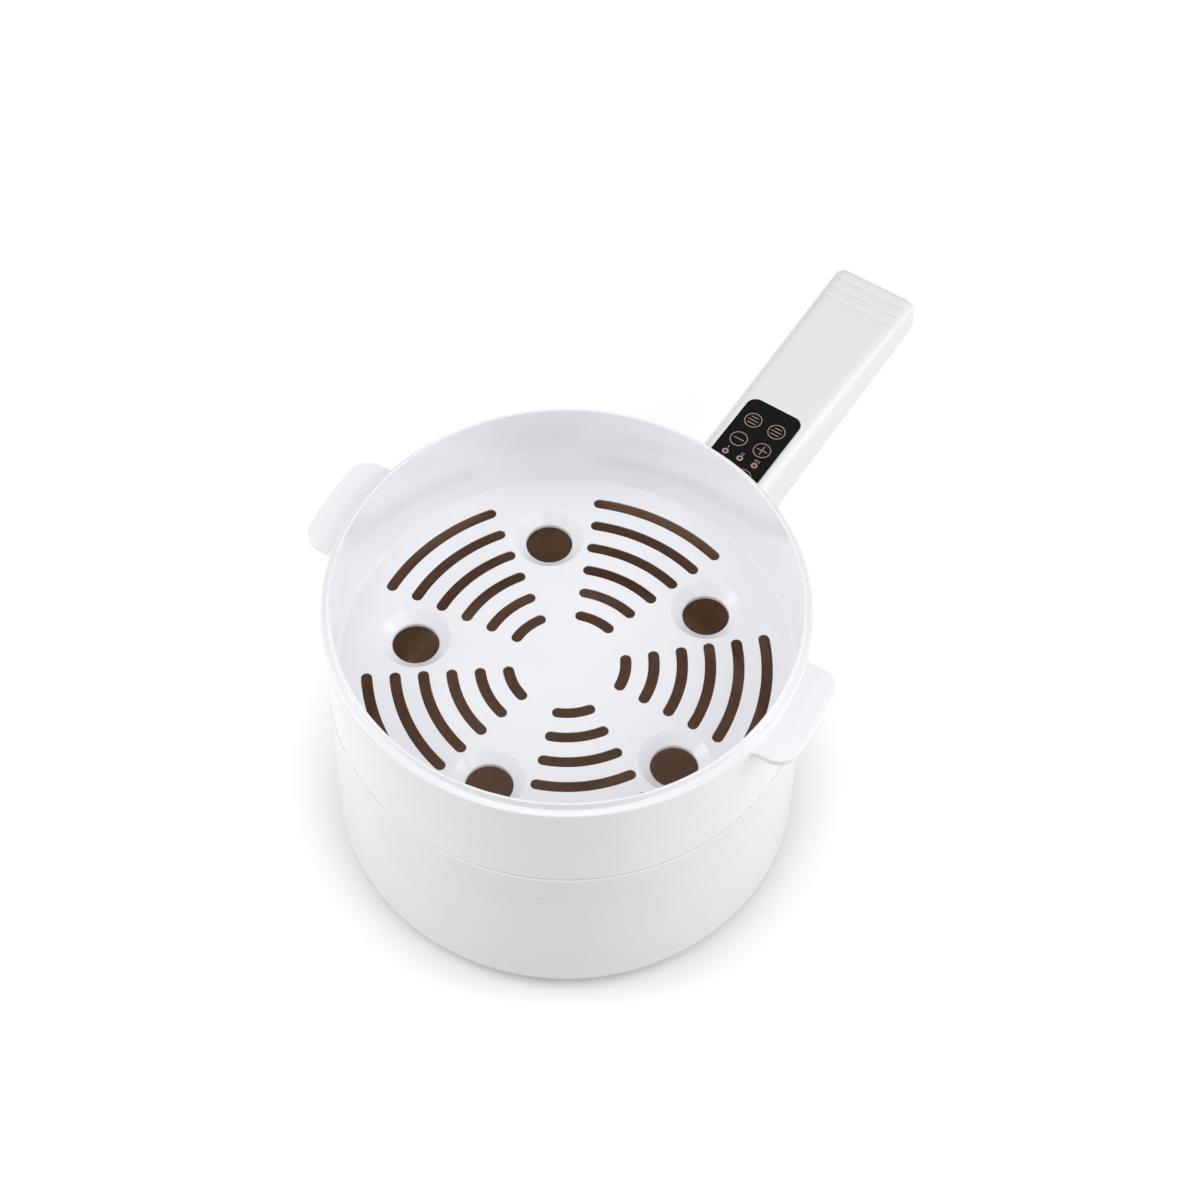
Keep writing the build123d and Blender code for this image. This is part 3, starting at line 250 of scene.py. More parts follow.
# ---------------------------------------------------------------- finishes
def add(tree, kind, inputs=None, **settings):
    """New node with its settings; inputs maps sockets to values or to other nodes' outputs."""
    made = tree.nodes.new(kind)
    for name, value in settings.items():
        setattr(made, name, value)
    for socket, value in (inputs or {}).items():
        if isinstance(value, bpy.types.NodeSocket):
            tree.links.new(value, made.inputs[socket])
        else:
            made.inputs[socket].default_value = value
    return made


def shade(tint, share):
    """The colour made darker (share under 1) or lighter."""
    return [min(1, channel * share) for channel in tint[:3]] + [1.0]


def finish(name, tint, roughness, grain, variation, gloss, relief, **shader):
    """
    Finish whose colour, gloss and relief vary over the surface.
    grain is the real size of the grain and relief its depth, both in millimetres. variation and
    gloss are how far colour and roughness go to either side. shader sets the shader's own sockets.
    """
    made = bpy.data.materials.new(name)
    made.use_nodes = True
    tree = made.node_tree
    tree.nodes.clear()
    spot = add(tree, "ShaderNodeTexCoord").outputs["Object"]
    fine = add(tree, "ShaderNodeTexNoise", {"Vector": spot, "Scale": 1 / (grain * MM), "Detail": 3.0})
    clouds = {"Vector": spot, "Scale": 1 / (CLOUD_SIZE * grain * MM), "Detail": 2.0}
    broad = add(tree, "ShaderNodeTexNoise", clouds)
    dark, pale = shade(tint, 1 - 2 * variation), shade(tint, 1 + 2 * variation)
    tone = add(tree, "ShaderNodeMixRGB", {"Fac": broad.outputs["Fac"], "Color1": dark, "Color2": pale})
    sheen = {
        "Value": fine.outputs["Fac"],
        "To Min": max(LEAST_ROUGHNESS, roughness - gloss),
        "To Max": roughness + gloss,
    }
    rough = add(tree, "ShaderNodeMapRange", sheen)
    grooves = {"Height": fine.outputs["Fac"], "Distance": relief * MM, "Strength": 1.0}
    bump = add(tree, "ShaderNodeBump", grooves)
    skin = {
        "Base Color": tone.outputs["Color"],
        "Roughness": rough.outputs["Result"],
        "Normal": bump.outputs["Normal"],
    }
    surface = add(tree, "ShaderNodeBsdfPrincipled", skin | shader)
    add(tree, "ShaderNodeOutputMaterial", {"Surface": surface.outputs["BSDF"]})
    return made


def glossy_polypropylene(tint):
    """Injection-moulded polypropylene: milky white, with a polish that mirrors the slots."""
    # Its flow marks are finer than they can show, so the grain is drawn at 1.4 mm
    return finish(
        "glossy_white_polypropylene", tint,
        roughness=0.15, grain=1.4, variation=0.008, gloss=0.02, relief=0.002, IOR=1.46,
    )


def glossy_abs(name, tint):
    """Injection-moulded ABS from a polished mould: even white with broad soft highlights."""
    # The mould's marks are finer than they can show, so the grain is drawn at 1.1 mm
    return finish(
        name, tint,
        roughness=0.2, grain=1.1, variation=0.012, gloss=0.04, relief=0.005, IOR=1.52,
    )


def satin_abs(tint):
    """ABS from a spark-eroded mould: a flat white with an even grain, drawn coarse enough to show."""
    return finish(
        "satin_white_abs", tint,
        roughness=0.5, grain=0.5, variation=0.02, gloss=0.06, relief=0.03, IOR=1.52,
    )


def speckled_coating(tint):
    """Sprayed non-stick coating: satin brown with pale and dark specks under a millimetre across."""
    made = finish(
        "brown_non_stick_coating", tint,
        roughness=0.42, grain=0.7, variation=0.1, gloss=0.08, relief=0.015, IOR=1.45,
    )
    tree = made.node_tree
    surface = tree.nodes["Principled BSDF"]
    spot = add(tree, "ShaderNodeTexCoord").outputs["Object"]
    cells = add(tree, "ShaderNodeTexVoronoi", {"Vector": spot, "Scale": 1 / SPECK_CELL})
    near_middle = {
        "Value": cells.outputs["Distance"],
        "From Min": SPECK_FULL_R, "From Max": SPECK_END_R, "To Min": 1.0, "To Max": 0.0,
    }
    speck = add(tree, "ShaderNodeMapRange", near_middle)
    chance = {
        "Value": cells.outputs["Color"],
        "From Min": SPECK_DARK_TO, "From Max": SPECK_PALE_FROM,
    }
    kind = add(tree, "ShaderNodeMapRange", chance)
    two_tones = {
        "Fac": kind.outputs["Result"],
        "Color1": shade(tint, DARK_SHARE), "Color2": shade(tint, PALE_SHARE),
    }
    specks = add(tree, "ShaderNodeMixRGB", two_tones)
    ground = surface.inputs["Base Color"].links[0].from_socket
    over_ground = {"Fac": speck.outputs["Result"], "Color1": ground, "Color2": specks.outputs["Color"]}
    mixed = add(tree, "ShaderNodeMixRGB", over_ground)
    tree.links.new(mixed.outputs["Color"], surface.inputs["Base Color"])
    return made


# ---------------------------------------------------------------- shapes
def lathe(bm, corners, centre=(0, 0), steps=192, closed=True, round_steps=5):
    """Turn an outline of (radius, height, rounding) corners about an upright axis at the centre."""
    before = set(bm.verts)
    points = [bm.verts.new((centre[0] + radius, centre[1], height)) for radius, height, _ in corners]
    bm.faces.new(points)
    for point, (_, _, rounding) in zip(points, corners):
        if rounding:
            bmesh.ops.bevel(
                bm, geom=[point], offset=rounding, offset_type="OFFSET", affect="VERTICES",
                segments=round_steps, profile=0.5, material=-1,
            )
    outline = [vert for vert in bm.verts if vert not in before]
    faces = list({face for vert in outline for face in vert.link_faces})
    bmesh.ops.delete(bm, geom=faces, context="FACES_ONLY")
    if not closed:
        bmesh.ops.delete(bm, geom=[bm.edges.get((points[-1], points[0]))], context="EDGES")
    edges = list({edge for vert in outline for edge in vert.link_edges})
    bmesh.ops.spin(
        bm, geom=outline + edges, cent=(*centre, 0), axis=(0, 0, 1), dvec=(0, 0, 0),
        angle=2 * math.pi, steps=steps, use_merge=True, use_duplicate=False,
    )


def polar(radius, angle, height=0.0):
    """Point at a radius and an angle in radians about the pot's axis."""
    return Vector((radius * math.cos(angle), radius * math.sin(angle), height))


def swing(bm, vert, centre, angle, steps):
    """Sweep a point round a centre and return where it ends."""
    swept = bmesh.ops.spin(
        bm, geom=[vert], cent=centre, axis=(0, 0, 1), dvec=(0, 0, 0),
        angle=angle, steps=steps, use_merge=False, use_duplicate=False,
    )
    return swept["geom_last"][0]


def put_around(bm, part, count, first):
    """Put copies of a part evenly about the pot's axis into a piece."""
    mesh = bpy.data.meshes.new("part")
    part.to_mesh(mesh)
    part.free()
    mesh.transform(Matrix.Rotation(first, 4, "Z"))
    for _ in range(count):
        bm.from_mesh(mesh)
        mesh.transform(Matrix.Rotation(2 * math.pi / count, 4, "Z"))
    bpy.data.meshes.remove(mesh)


def fill_level(bm, height):
    """Close the flat face between the open outlines at a height, with the holes left in it."""
    edges = [
        edge for edge in bm.edges
        if edge.is_boundary and all(abs(vert.co.z - height) < SAME_LEVEL for vert in edge.verts)
    ]
    bmesh.ops.triangle_fill(bm, use_beauty=True, use_dissolve=False, edges=edges, normal=(0, 0, 1))


def place(name, mesh, material, body, nodes):
    """Object for a finished mesh, riding on a body in place of its nodes."""
    mesh.materials.clear()
    mesh.materials.append(material)
    made = bpy.data.objects.new(name, mesh)
    bpy.context.scene.collection.objects.link(made)
    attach(made, body)
    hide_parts(*nodes)
    even = made.modifiers.new("even_light", "WEIGHTED_NORMAL")
    even.keep_sharp = True
    return made


def smooth_mesh(name, bm):
    """Mesh from a bmesh, shaded smooth but for its sharp edges."""
    mesh = bpy.data.meshes.new(name)
    bm.to_mesh(mesh)
    bm.free()
    mesh.shade_smooth()
    mesh.set_sharp_from_angle(angle=SHARP_ANGLE)
    return mesh


def piece(name, bm, material, body, slot, *nodes):
    """Finished piece from a bmesh: merged, with its faces outwards and its sharp edges kept."""
    bmesh.ops.remove_doubles(bm, verts=bm.verts, dist=MERGE)
    bmesh.ops.recalc_face_normals(bm, faces=bm.faces)
    return place(name, smooth_mesh(name, bm), material, body, nodes)


def from_node(name, node, material, body, edge=0.0):
    """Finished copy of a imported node: merged into clean faces, with its sharp edges broken."""
    bm = bmesh.new()
    bm.from_mesh(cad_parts[node].data)
    bmesh.ops.remove_doubles(bm, verts=bm.verts, dist=NODE_MERGE)
    bmesh.ops.dissolve_limit(
        bm, angle_limit=FLAT_ANGLE, use_dissolve_boundaries=False,
        verts=bm.verts, edges=bm.edges, delimit=set(),
    )
    made = place(name, smooth_mesh(name, bm), material, body, (node,))
    if edge:
        bevel = made.modifiers.new("broken_edges", "BEVEL")
        bevel.width = edge
        bevel.segments = 2
        bevel.limit_method = "ANGLE"
        bevel.angle_limit = BROKEN_ANGLE
        made.modifiers.move(1, 0)  # the edges are broken before the light is evened
    return made


# ---------------------------------------------------------------- basket
class HOTPOT_OT_steamer_basket(bpy.types.Operator):
    """White basket with its lip, ledge, slots, egg seats and ears"""
    bl_idname = "hotpot.steamer_basket"
    bl_label = "Steamer basket"

    def execute(self, context):
        sizes, colours = context.scene.hotpot_sizes, context.scene.hotpot_colours
        bm = bmesh.new()
        self.wall(bm, sizes)
        self.gate_mark(bm)
        put_around(bm, self.egg_seat(sizes), SLOT_GROUPS, math.pi / SLOT_GROUPS)
        for row, degrees in enumerate(SLOT_HALF_ANGLES):
            radius = SLOT_FIRST_R + SLOT_PITCH * row
            slot = self.slot(radius, math.radians(degrees), sizes.slot_round)
            put_around(bm, slot, SLOT_GROUPS, 0.0)
        fill_level(bm, Z_FLOOR)
        fill_level(bm, Z_FLOOR - FLOOR_T)
        put_around(bm, self.ear(sizes), 2, math.pi / 2)
        turn = Matrix.Rotation(BASKET_TURN, 3, "Z")
        bmesh.ops.rotate(bm, verts=bm.verts, cent=(0, 0, 0), matrix=turn)
        material = glossy_polypropylene(colours.basket)
        piece("steamer_basket_moulding", bm, material, "steamer", "white_plastic", "steamer_basket")
        return {"FINISHED"}

    def wall(self, bm, sizes):
        """Wall from the floor's edge over the lip and the ledge down to the skirt."""
        bore = COLLAR_R - LEDGE_W - LIP_W
        foot_r = COLLAR_R - BASKET_DRAFT
        gap_top = Z_SEAT + sizes.seam_gap
        lathe(bm, [
            (bore - BORE_DRAFT - FLOOR_CORNER - FLOOR_EDGE_W, Z_FLOOR, 0),
            (bore - BORE_DRAFT, Z_FLOOR, FLOOR_CORNER),
            (bore, Z_LIP, sizes.lip_round),
            (bore + LIP_W, Z_LIP, sizes.lip_round),
            (bore + LIP_W, Z_LEDGE, LIP_FOOT_ROUND),
            (COLLAR_R, Z_LEDGE, sizes.ledge_round),
            (foot_r, gap_top, WALL_FOOT_ROUND),
            (foot_r - SEAM_GAP_DEPTH, gap_top, 0),
            (foot_r - SEAM_GAP_DEPTH, Z_SEAT, 0),
            (UPSTAND_R + NEST_GAP, Z_SEAT, 0),
            (UPSTAND_R + NEST_GAP, Z_FLOOR - FLOOR_T, 0),
        ], closed=False)

    def gate_mark(self, bm):
        """Shallow dimple left by the mould's gate in the middle of the floor."""
        low = Z_FLOOR - GATE_MARK_DEPTH
        lathe(bm, [
            (GATE_MARK_R + GATE_MARK_DEPTH, Z_FLOOR, 0),
            (GATE_MARK_R, low, GATE_MARK_ROUND),
            (GATE_PIP_R, low, GATE_MARK_ROUND),
            (GATE_PIP_R - GATE_PIP_TAPER, low + GATE_PIP_H, GATE_PIP_ROUND),
            (0, low + GATE_PIP_H, 0),
        ], steps=32, closed=False, round_steps=2)

    def egg_seat(self, sizes):
        """Dished hole for an egg, on the +X side."""
        # Radius of the dish's outside where it meets the underside of the floor
        shrink = 1 - FLOOR_T / EGG_DISH_DEPTH
        under = EGG_HOLE_R + EGG_DISH_WALL + (EGG_DISH_R - EGG_HOLE_R) * shrink
        throat = Z_FLOOR - EGG_DISH_DEPTH
        bm = bmesh.new()
        lathe(bm, [
            (EGG_DISH_R + 2 * sizes.dish_round, Z_FLOOR, 0),
            (EGG_DISH_R, Z_FLOOR, sizes.dish_round),
            (EGG_HOLE_R, throat, sizes.dish_round / 2),
            (EGG_HOLE_R, throat - EGG_DISH_WALL, sizes.slot_round),
            (EGG_HOLE_R + EGG_DISH_WALL, throat - EGG_DISH_WALL, sizes.slot_round),
            (EGG_HOLE_R + EGG_DISH_WALL, throat, 0),
            (under, Z_FLOOR - FLOOR_T, 0),
        ], centre=(EGG_PITCH_R, 0), steps=72, closed=False)
        return bm

    def slot_ring(self, bm, radius, half_angle, half_width, height):
        """Closed outline of a curved slot with round ends, centred on the +X side."""
        before = set(bm.edges)
        steps = round(2 * half_angle * radius / SLOT_STEP)
        vert = bm.verts.new(polar(radius + half_width, -half_angle, height))
        vert = swing(bm, vert, (0, 0, 0), 2 * half_angle, steps)
        vert = swing(bm, vert, polar(radius, half_angle), math.pi, SLOT_END_STEPS)
        vert = swing(bm, vert, (0, 0, 0), -2 * half_angle, steps)
        swing(bm, vert, polar(radius, -half_angle), math.pi, SLOT_END_STEPS)
        bmesh.ops.remove_doubles(bm, verts=bm.verts, dist=MERGE)
        return [edge for edge in bm.edges if edge not in before]

    def slot(self, radius, half_angle, rounding):
        """Walls of a slot: rounded at the top of the floor, then wider towards the underside."""
        turns = [math.pi / 2 * step / SLOT_ROUND_STEPS for step in range(SLOT_ROUND_STEPS + 1)]
        levels = [
            (rounding * (1 - math.sin(turn)), Z_FLOOR - rounding * (1 - math.cos(turn)))
            for turn in turns
        ]
        levels.append((SLOT_DRAFT, Z_FLOOR - FLOOR_T))
        bm = bmesh.new()
        rings = [
            self.slot_ring(bm, radius, half_angle, SLOT_HALF_W + widening, height)
            for widening, height in levels
        ]
        for upper, lower in zip(rings, rings[1:]):
            bmesh.ops.bridge_loops(bm, edges=upper + lower)
        return bm

    def ear_outline(self, bm, top):
        """Closed outline of the ear on the +X side: hollow corners at the wall, round outside."""
        bow_centre = Vector((COLLAR_R + EAR_REACH - EAR_BOW_R, 0, 0))
        corner_y = EAR_W / 2 - EAR_ROUND
        lean = math.asin(corner_y / (EAR_BOW_R - EAR_ROUND))  # half the angle of the bowed end
        corner_x = bow_centre.x + (EAR_BOW_R - EAR_ROUND) * math.cos(lean)
        wall_r = COLLAR_R - EAR_SINK
        web_y = EAR_W / 2 + EAR_WEB_R
        web_x = math.sqrt((wall_r + EAR_WEB_R) ** 2 - web_y**2)
        web = math.atan2(web_y, web_x)  # angle at which a hollow corner leaves the wall
        first = bm.verts.new((EAR_ROOT_X, -EAR_W / 2, top))
        vert = bm.verts.new(polar(wall_r, -web, top))
        bm.edges.new((first, vert))
        vert = swing(bm, vert, (web_x, -web_y, 0), web - math.pi / 2, EAR_WEB_STEPS)
        vert = self.run_to(bm, vert, (corner_x, -EAR_W / 2, top))
        vert = swing(bm, vert, (corner_x, -corner_y, 0), math.pi / 2 - lean, EAR_CORNER_STEPS)
        vert = swing(bm, vert, bow_centre, 2 * lean, EAR_BOW_STEPS)
        vert = swing(bm, vert, (corner_x, corner_y, 0), math.pi / 2 - lean, EAR_CORNER_STEPS)
        vert = self.run_to(bm, vert, (web_x, EAR_W / 2, top))
        vert = swing(bm, vert, (web_x, web_y, 0), web - math.pi / 2, EAR_WEB_STEPS)
        vert = self.run_to(bm, vert, (EAR_ROOT_X, EAR_W / 2, top))
        bm.edges.new((vert, first))

    def run_to(self, bm, vert, spot):
        """Straight edge to a spot; returns its new end."""
        end = bm.verts.new(spot)
        bm.edges.new((vert, end))
        return end

    def ear(self, sizes):
        """Flat tab on the +X side, rooted in the wall."""
        bm = bmesh.new()
        self.ear_outline(bm, Z_LEDGE - EAR_DROP)
        bmesh.ops.contextual_create(bm, geom=bm.edges)
        upper = list(bm.edges)
        below = bmesh.ops.extrude_face_region(bm, geom=bm.faces, use_keep_orig=True)["geom"]
        lowered = [item for item in below if isinstance(item, bmesh.types.BMVert)]
        bmesh.ops.translate(bm, verts=lowered, vec=(0, 0, -EAR_T))
        lower = [item for item in below if isinstance(item, bmesh.types.BMEdge)]
        for rim, rounding in ((upper, sizes.ear_top_round), (lower, sizes.ear_low_round)):
            bmesh.ops.bevel(
                bm, geom=rim, offset=rounding, offset_type="OFFSET", affect="EDGES",
                segments=4, profile=0.5, material=-1,
            )
        return bm


# ---------------------------------------------------------------- collar, housing and pot
class HOTPOT_OT_housing(bpy.types.Operator):
    """White collar and housing, with the seams between them"""
    bl_idname = "hotpot.housing"
    bl_label = "Collar and housing"

    def execute(self, context):
        sizes, colours = context.scene.hotpot_sizes, context.scene.hotpot_colours
        material = glossy_abs("glossy_white_abs", colours.housing)
        collar, shell = self.collar(sizes), self.shell(sizes)
        piece("rim_collar_moulding", collar, material, "pot", "white_plastic", "rim_collar")
        piece("outer_shell_moulding", shell, material, "pot", "white_plastic", "outer_shell")
        return {"FINISHED"}

    def collar(self, sizes):
        """White ring with the upstand that the basket nests on and the spigot in the housing."""
        spigot_r = SHELL_R - SHELL_WALL - FIT
        deck = Z_SEAT - COLLAR_WALL
        upstand_bore = UPSTAND_R - UPSTAND_WALL
        bm = bmesh.new()
        lathe(bm, [
            (COLLAR_R, Z_SPLIT, sizes.joint_round),
            (COLLAR_R, Z_SEAT, sizes.seam_round),
            (UPSTAND_R, Z_SEAT, SEAT_ROUND),
            (UPSTAND_R, Z_UPSTAND, INNER_ROUND),
            (upstand_bore, Z_UPSTAND, INNER_ROUND),
            (upstand_bore, deck, INNER_ROUND),
            (COLLAR_R - COLLAR_WALL, deck, INNER_CORNER),
            (COLLAR_R - COLLAR_WALL, Z_SPLIT + SPIGOT_WALL, INNER_CORNER),
            (spigot_r - SPIGOT_WALL, Z_SPLIT + SPIGOT_WALL, INNER_ROUND),
            (spigot_r - SPIGOT_WALL, Z_SPLIT - SPIGOT_H, INNER_ROUND),
            (spigot_r, Z_SPLIT - SPIGOT_H, INNER_ROUND),
            (spigot_r, Z_SPLIT, 0),
        ])
        return bm

    def shell(self, sizes):
        """Housing with its open base, the bosses for the cover and the pad behind the handle."""
        bore = SHELL_R - SHELL_WALL
        inner_bevel = SHELL_ROUND - SHELL_WALL
        opening_r = SHELL_R - SHELL_ROUND - BASE_BAND
        ring_r = opening_r - RING_LEDGE
        ring = Z_BASE + COVER_T
        floor = ring + RING_T
        bm = bmesh.new()
        lathe(bm, [
            (SHELL_R, Z_SPLIT, sizes.joint_round),
            (SHELL_R, Z_BASE, SHELL_ROUND),
            (opening_r, Z_BASE, RIM_ROUND),
            (opening_r, ring, 0),
            (ring_r, ring, RIM_ROUND),
            (ring_r, floor, RIM_ROUND),
            (bore - inner_bevel, floor, 0),
            (bore, floor + inner_bevel, 0),
            (bore, Z_SPLIT, RIM_ROUND),
        ], round_steps=8)
        for step in range(BOSS_COUNT):
            turn = 2 * math.pi / BOSS_COUNT * step
            middle = polar(ring_r + PILOT_R, turn, ring + BOSS_H / 2)
            bmesh.ops.create_cone(
                bm, cap_ends=True, segments=32, radius1=BOSS_R, radius2=BOSS_R, depth=BOSS_H,
                matrix=Matrix.Translation(middle),
            )
        pad_top = Z_SPLIT - SPIGOT_H - 2 * FIT
        middle = Vector((SHELL_HIGH[0] - PAD_DEPTH / 2, 0, pad_top - PAD_H / 2))
        stretch = Vector((PAD_DEPTH, 2 * PAD_HALF_W, PAD_H))
        pad = bmesh.ops.create_cube(bm, size=1, matrix=Matrix.LocRotScale(middle, None, stretch))
        edges = list({edge for vert in pad["verts"] for edge in vert.link_edges})
        bmesh.ops.bevel(
            bm, geom=edges, offset=INNER_ROUND, affect="EDGES", segments=2, profile=0.5, material=-1
        )
        return bm


class HOTPOT_OT_inner_pot(bpy.types.Operator):
    """Coated pot inside the housing"""
    bl_idname = "hotpot.inner_pot"
    bl_label = "Inner pot"

    def execute(self, context):
        outer = UPSTAND_R - UPSTAND_WALL - SEAL_W
        bore = outer - POT_WALL
        bm = bmesh.new()
        lathe(bm, [
            (0, Z_POT, 0),
            (outer, Z_POT, POT_CORNER + POT_WALL),
            (outer, Z_UPSTAND, RIM_ROUND),
            (UPSTAND_R - 2 * FIT, Z_UPSTAND, RIM_ROUND),
            (UPSTAND_R - 2 * FIT, Z_FLANGE, FLANGE_ROUND),
            (bore, Z_FLANGE, BORE_ROUND),
            (bore, Z_POT + POT_WALL, POT_CORNER),
            (0, Z_POT + POT_WALL, 0),
        ], closed=False, round_steps=10)
        material = speckled_coating(context.scene.hotpot_colours.coating)
        piece("inner_pot_pressing", bm, material, "pot", "brown_coating", "inner_pot")
        return {"FINISHED"}


# ---------------------------------------------------------------- handle
class HOTPOT_OT_handle(bpy.types.Operator):
    """Handle shells, touch panel and printed signs"""
    bl_idname = "hotpot.handle"
    bl_label = "Handle and touch panel"

    def execute(self, context):
        colours = context.scene.hotpot_colours
        white = glossy_abs("glossy_white_abs_handle", colours.handle)
        from_node("handle_upper_shell", "handle_upper", white, "pot")
        from_node("handle_lower_shell", "handle_lower", white, "pot")
        # Cast acrylic sheet, printed black behind: a deep even black with sharp, dim reflections
        acrylic = finish(
            "black_acrylic", colours.panel,
            roughness=0.08, grain=0.6, variation=0.1, gloss=0.03, relief=0.001, IOR=1.36,
        )
        from_node("touch_panel_window", "touch_panel", acrylic, "pot", PANEL_EDGE)
        # Screen-printed ink with copper flakes: pinkish, half metal, with a matt skin
        ink = finish(
            "copper_ink", colours.signs,
            roughness=0.38, grain=0.15, variation=0.05, gloss=0.08, relief=0.004, Metallic=0.35,
        )
        from_node("printed_signs", "key_legends", ink, "pot")
        return {"FINISHED"}


class HOTPOT_OT_underside(bpy.types.Operator):
    """Base cover and rubber feet"""
    bl_idname = "hotpot.underside"
    bl_label = "Underside"

    def execute(self, context):
        colours = context.scene.hotpot_colours
        satin = satin_abs(colours.housing)
        from_node("base_cover_plate", "base_cover", satin, "pot", COVER_EDGE)
        # Moulded rubber: dull mid grey that takes no clear highlight
        rubber = finish(
            "foot_rubber", linear("#8C8C8A"),
            roughness=0.75, grain=0.5, variation=0.06, gloss=0.05, relief=0.02, IOR=1.5,
        )
        from_node("rubber_feet", "base_feet", rubber, "pot", FOOT_EDGE)
        return {"FINISHED"}


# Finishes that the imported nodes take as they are. Each row has a name, hex colour, metallic,
# roughness, grain and relief in millimetres, and the nodes.
NODE_FINISHES = (
    # Moulded silicone rubber: a soft dull grey with hardly any highlight
    ("grey_silicone", "#A8A8A4", 0.0, 0.6, 0.8, 0.01, ("pot_seal",)),
    # Die-cast aluminium as it leaves the mould: pale grey metal with a cloudy skin
    ("cast_aluminium", "#B4B5B8", 1.0, 0.42, 0.7, 0.03, ("heating_disc", "temperature_sensor")),
    # Drawn stainless tube after its first heats: metal turned straw brown
    ("heat_tinted_stainless", "#8E857A", 1.0, 0.38, 0.6, 0.008, ("heating_tube",)),
    # Bright zinc plating on pressed and turned steel: cool pale metal with soft highlights
    ("zinc_plated_steel", "#B9BBBD", 1.0, 0.3, 0.5, 0.006, (
        "tube_terminals", "tie_studs", "tie_nuts", "shield_screws", "strap_screw", "fuse_clip",
        "cover_screws", "handle_screws", "handle_bracket", "bracket_screws", "board_screws",
        "sensor_strap", "heat_shield",
    )),
    # Pressed phenolic resin: hard dark brown with a low shine
    ("brown_bakelite", "#3A2A22", 0.0, 0.35, 0.8, 0.01, ("thermostat",)),
    # Woven glass fibre: dry off-white threads, drawn as a coarse grain because they are fine
    ("glass_fibre_sleeve", "#D8D2C4", 0.0, 0.8, 0.4, 0.05, ("thermal_fuse",)),
    # Cured solder mask on a board: smooth dark green lacquer
    ("green_solder_mask", "#1E5A36", 0.0, 0.3, 1.2, 0.01, ("touch_board", "power_board")),
    # Moulded thermoplastic, spark-eroded: an even near-black with a dull sheen
    ("black_moulding", "#1A1A1B", 0.0, 0.45, 0.5, 0.02, ("touch_chips", "mains_inlet")),
    # Moulded polyester relay case: clean blue with a clear highlight
    ("blue_relay_case", "#1F4E8C", 0.0, 0.28, 0.9, 0.006, ("relay",)),
    # Moulded capacitor case: warm yellow, slightly glossy
    ("yellow_capacitor_case", "#D2A52A", 0.0, 0.3, 0.9, 0.008, ("capacitor",)),
    # Undyed moulded nylon: creamy white, waxy
    ("natural_nylon", "#D9D6CA", 0.0, 0.45, 0.9, 0.01, ("lead_block",)),
    # Nickel over turned brass: warm bright metal, nearly a mirror
    ("nickel_plated_brass", "#D5CDBC", 1.0, 0.18, 0.4, 0.003, ("inlet_pins",)),
    # Coiled plated wire: small bright highlights with a gold cast
    ("plated_spring_wire", "#C9BFA8", 1.0, 0.25, 0.3, 0.003, ("touch_springs",)),
    # Cast epoxy lens of an unlit lamp: milky and shiny
    ("clear_lamp_resin", "#CFCFC8", 0.0, 0.12, 0.8, 0.002, ("indicator_leds",)),
    # Cast smoked resin: almost the panel's black, with its shine
    ("smoked_window_resin", "#1E1A18", 0.0, 0.12, 0.8, 0.002, ("light_windows",)),
    # Extruded silicone insulation: flat brick red
    ("red_silicone_wire", "#B23A30", 0.0, 0.5, 0.6, 0.01, ("heater_leads",)),
    # Extruded PVC insulation: mid grey with a faint sheen
    ("grey_wire", "#8E9094", 0.0, 0.45, 0.6, 0.008, ("sensor_lead", "inlet_leads", "board_link")),
)


class HOTPOT_OT_inside(bpy.types.Operator):
    """Finishes of the heater, the boards, the wiring and the fasteners"""
    bl_idname = "hotpot.inside"
    bl_label = "Inside and fasteners"

    def execute(self, context):
        for name, code, metallic, roughness, grain, relief, nodes in NODE_FINISHES:
            material = finish(
                name, linear(code),
                roughness, grain, variation=0.08, gloss=0.07, relief=relief, Metallic=metallic,
            )
            for node in nodes:
                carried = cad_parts[node]
                carried.data.materials.clear()
                carried.data.materials.append(material)
        return {"FINISHED"}


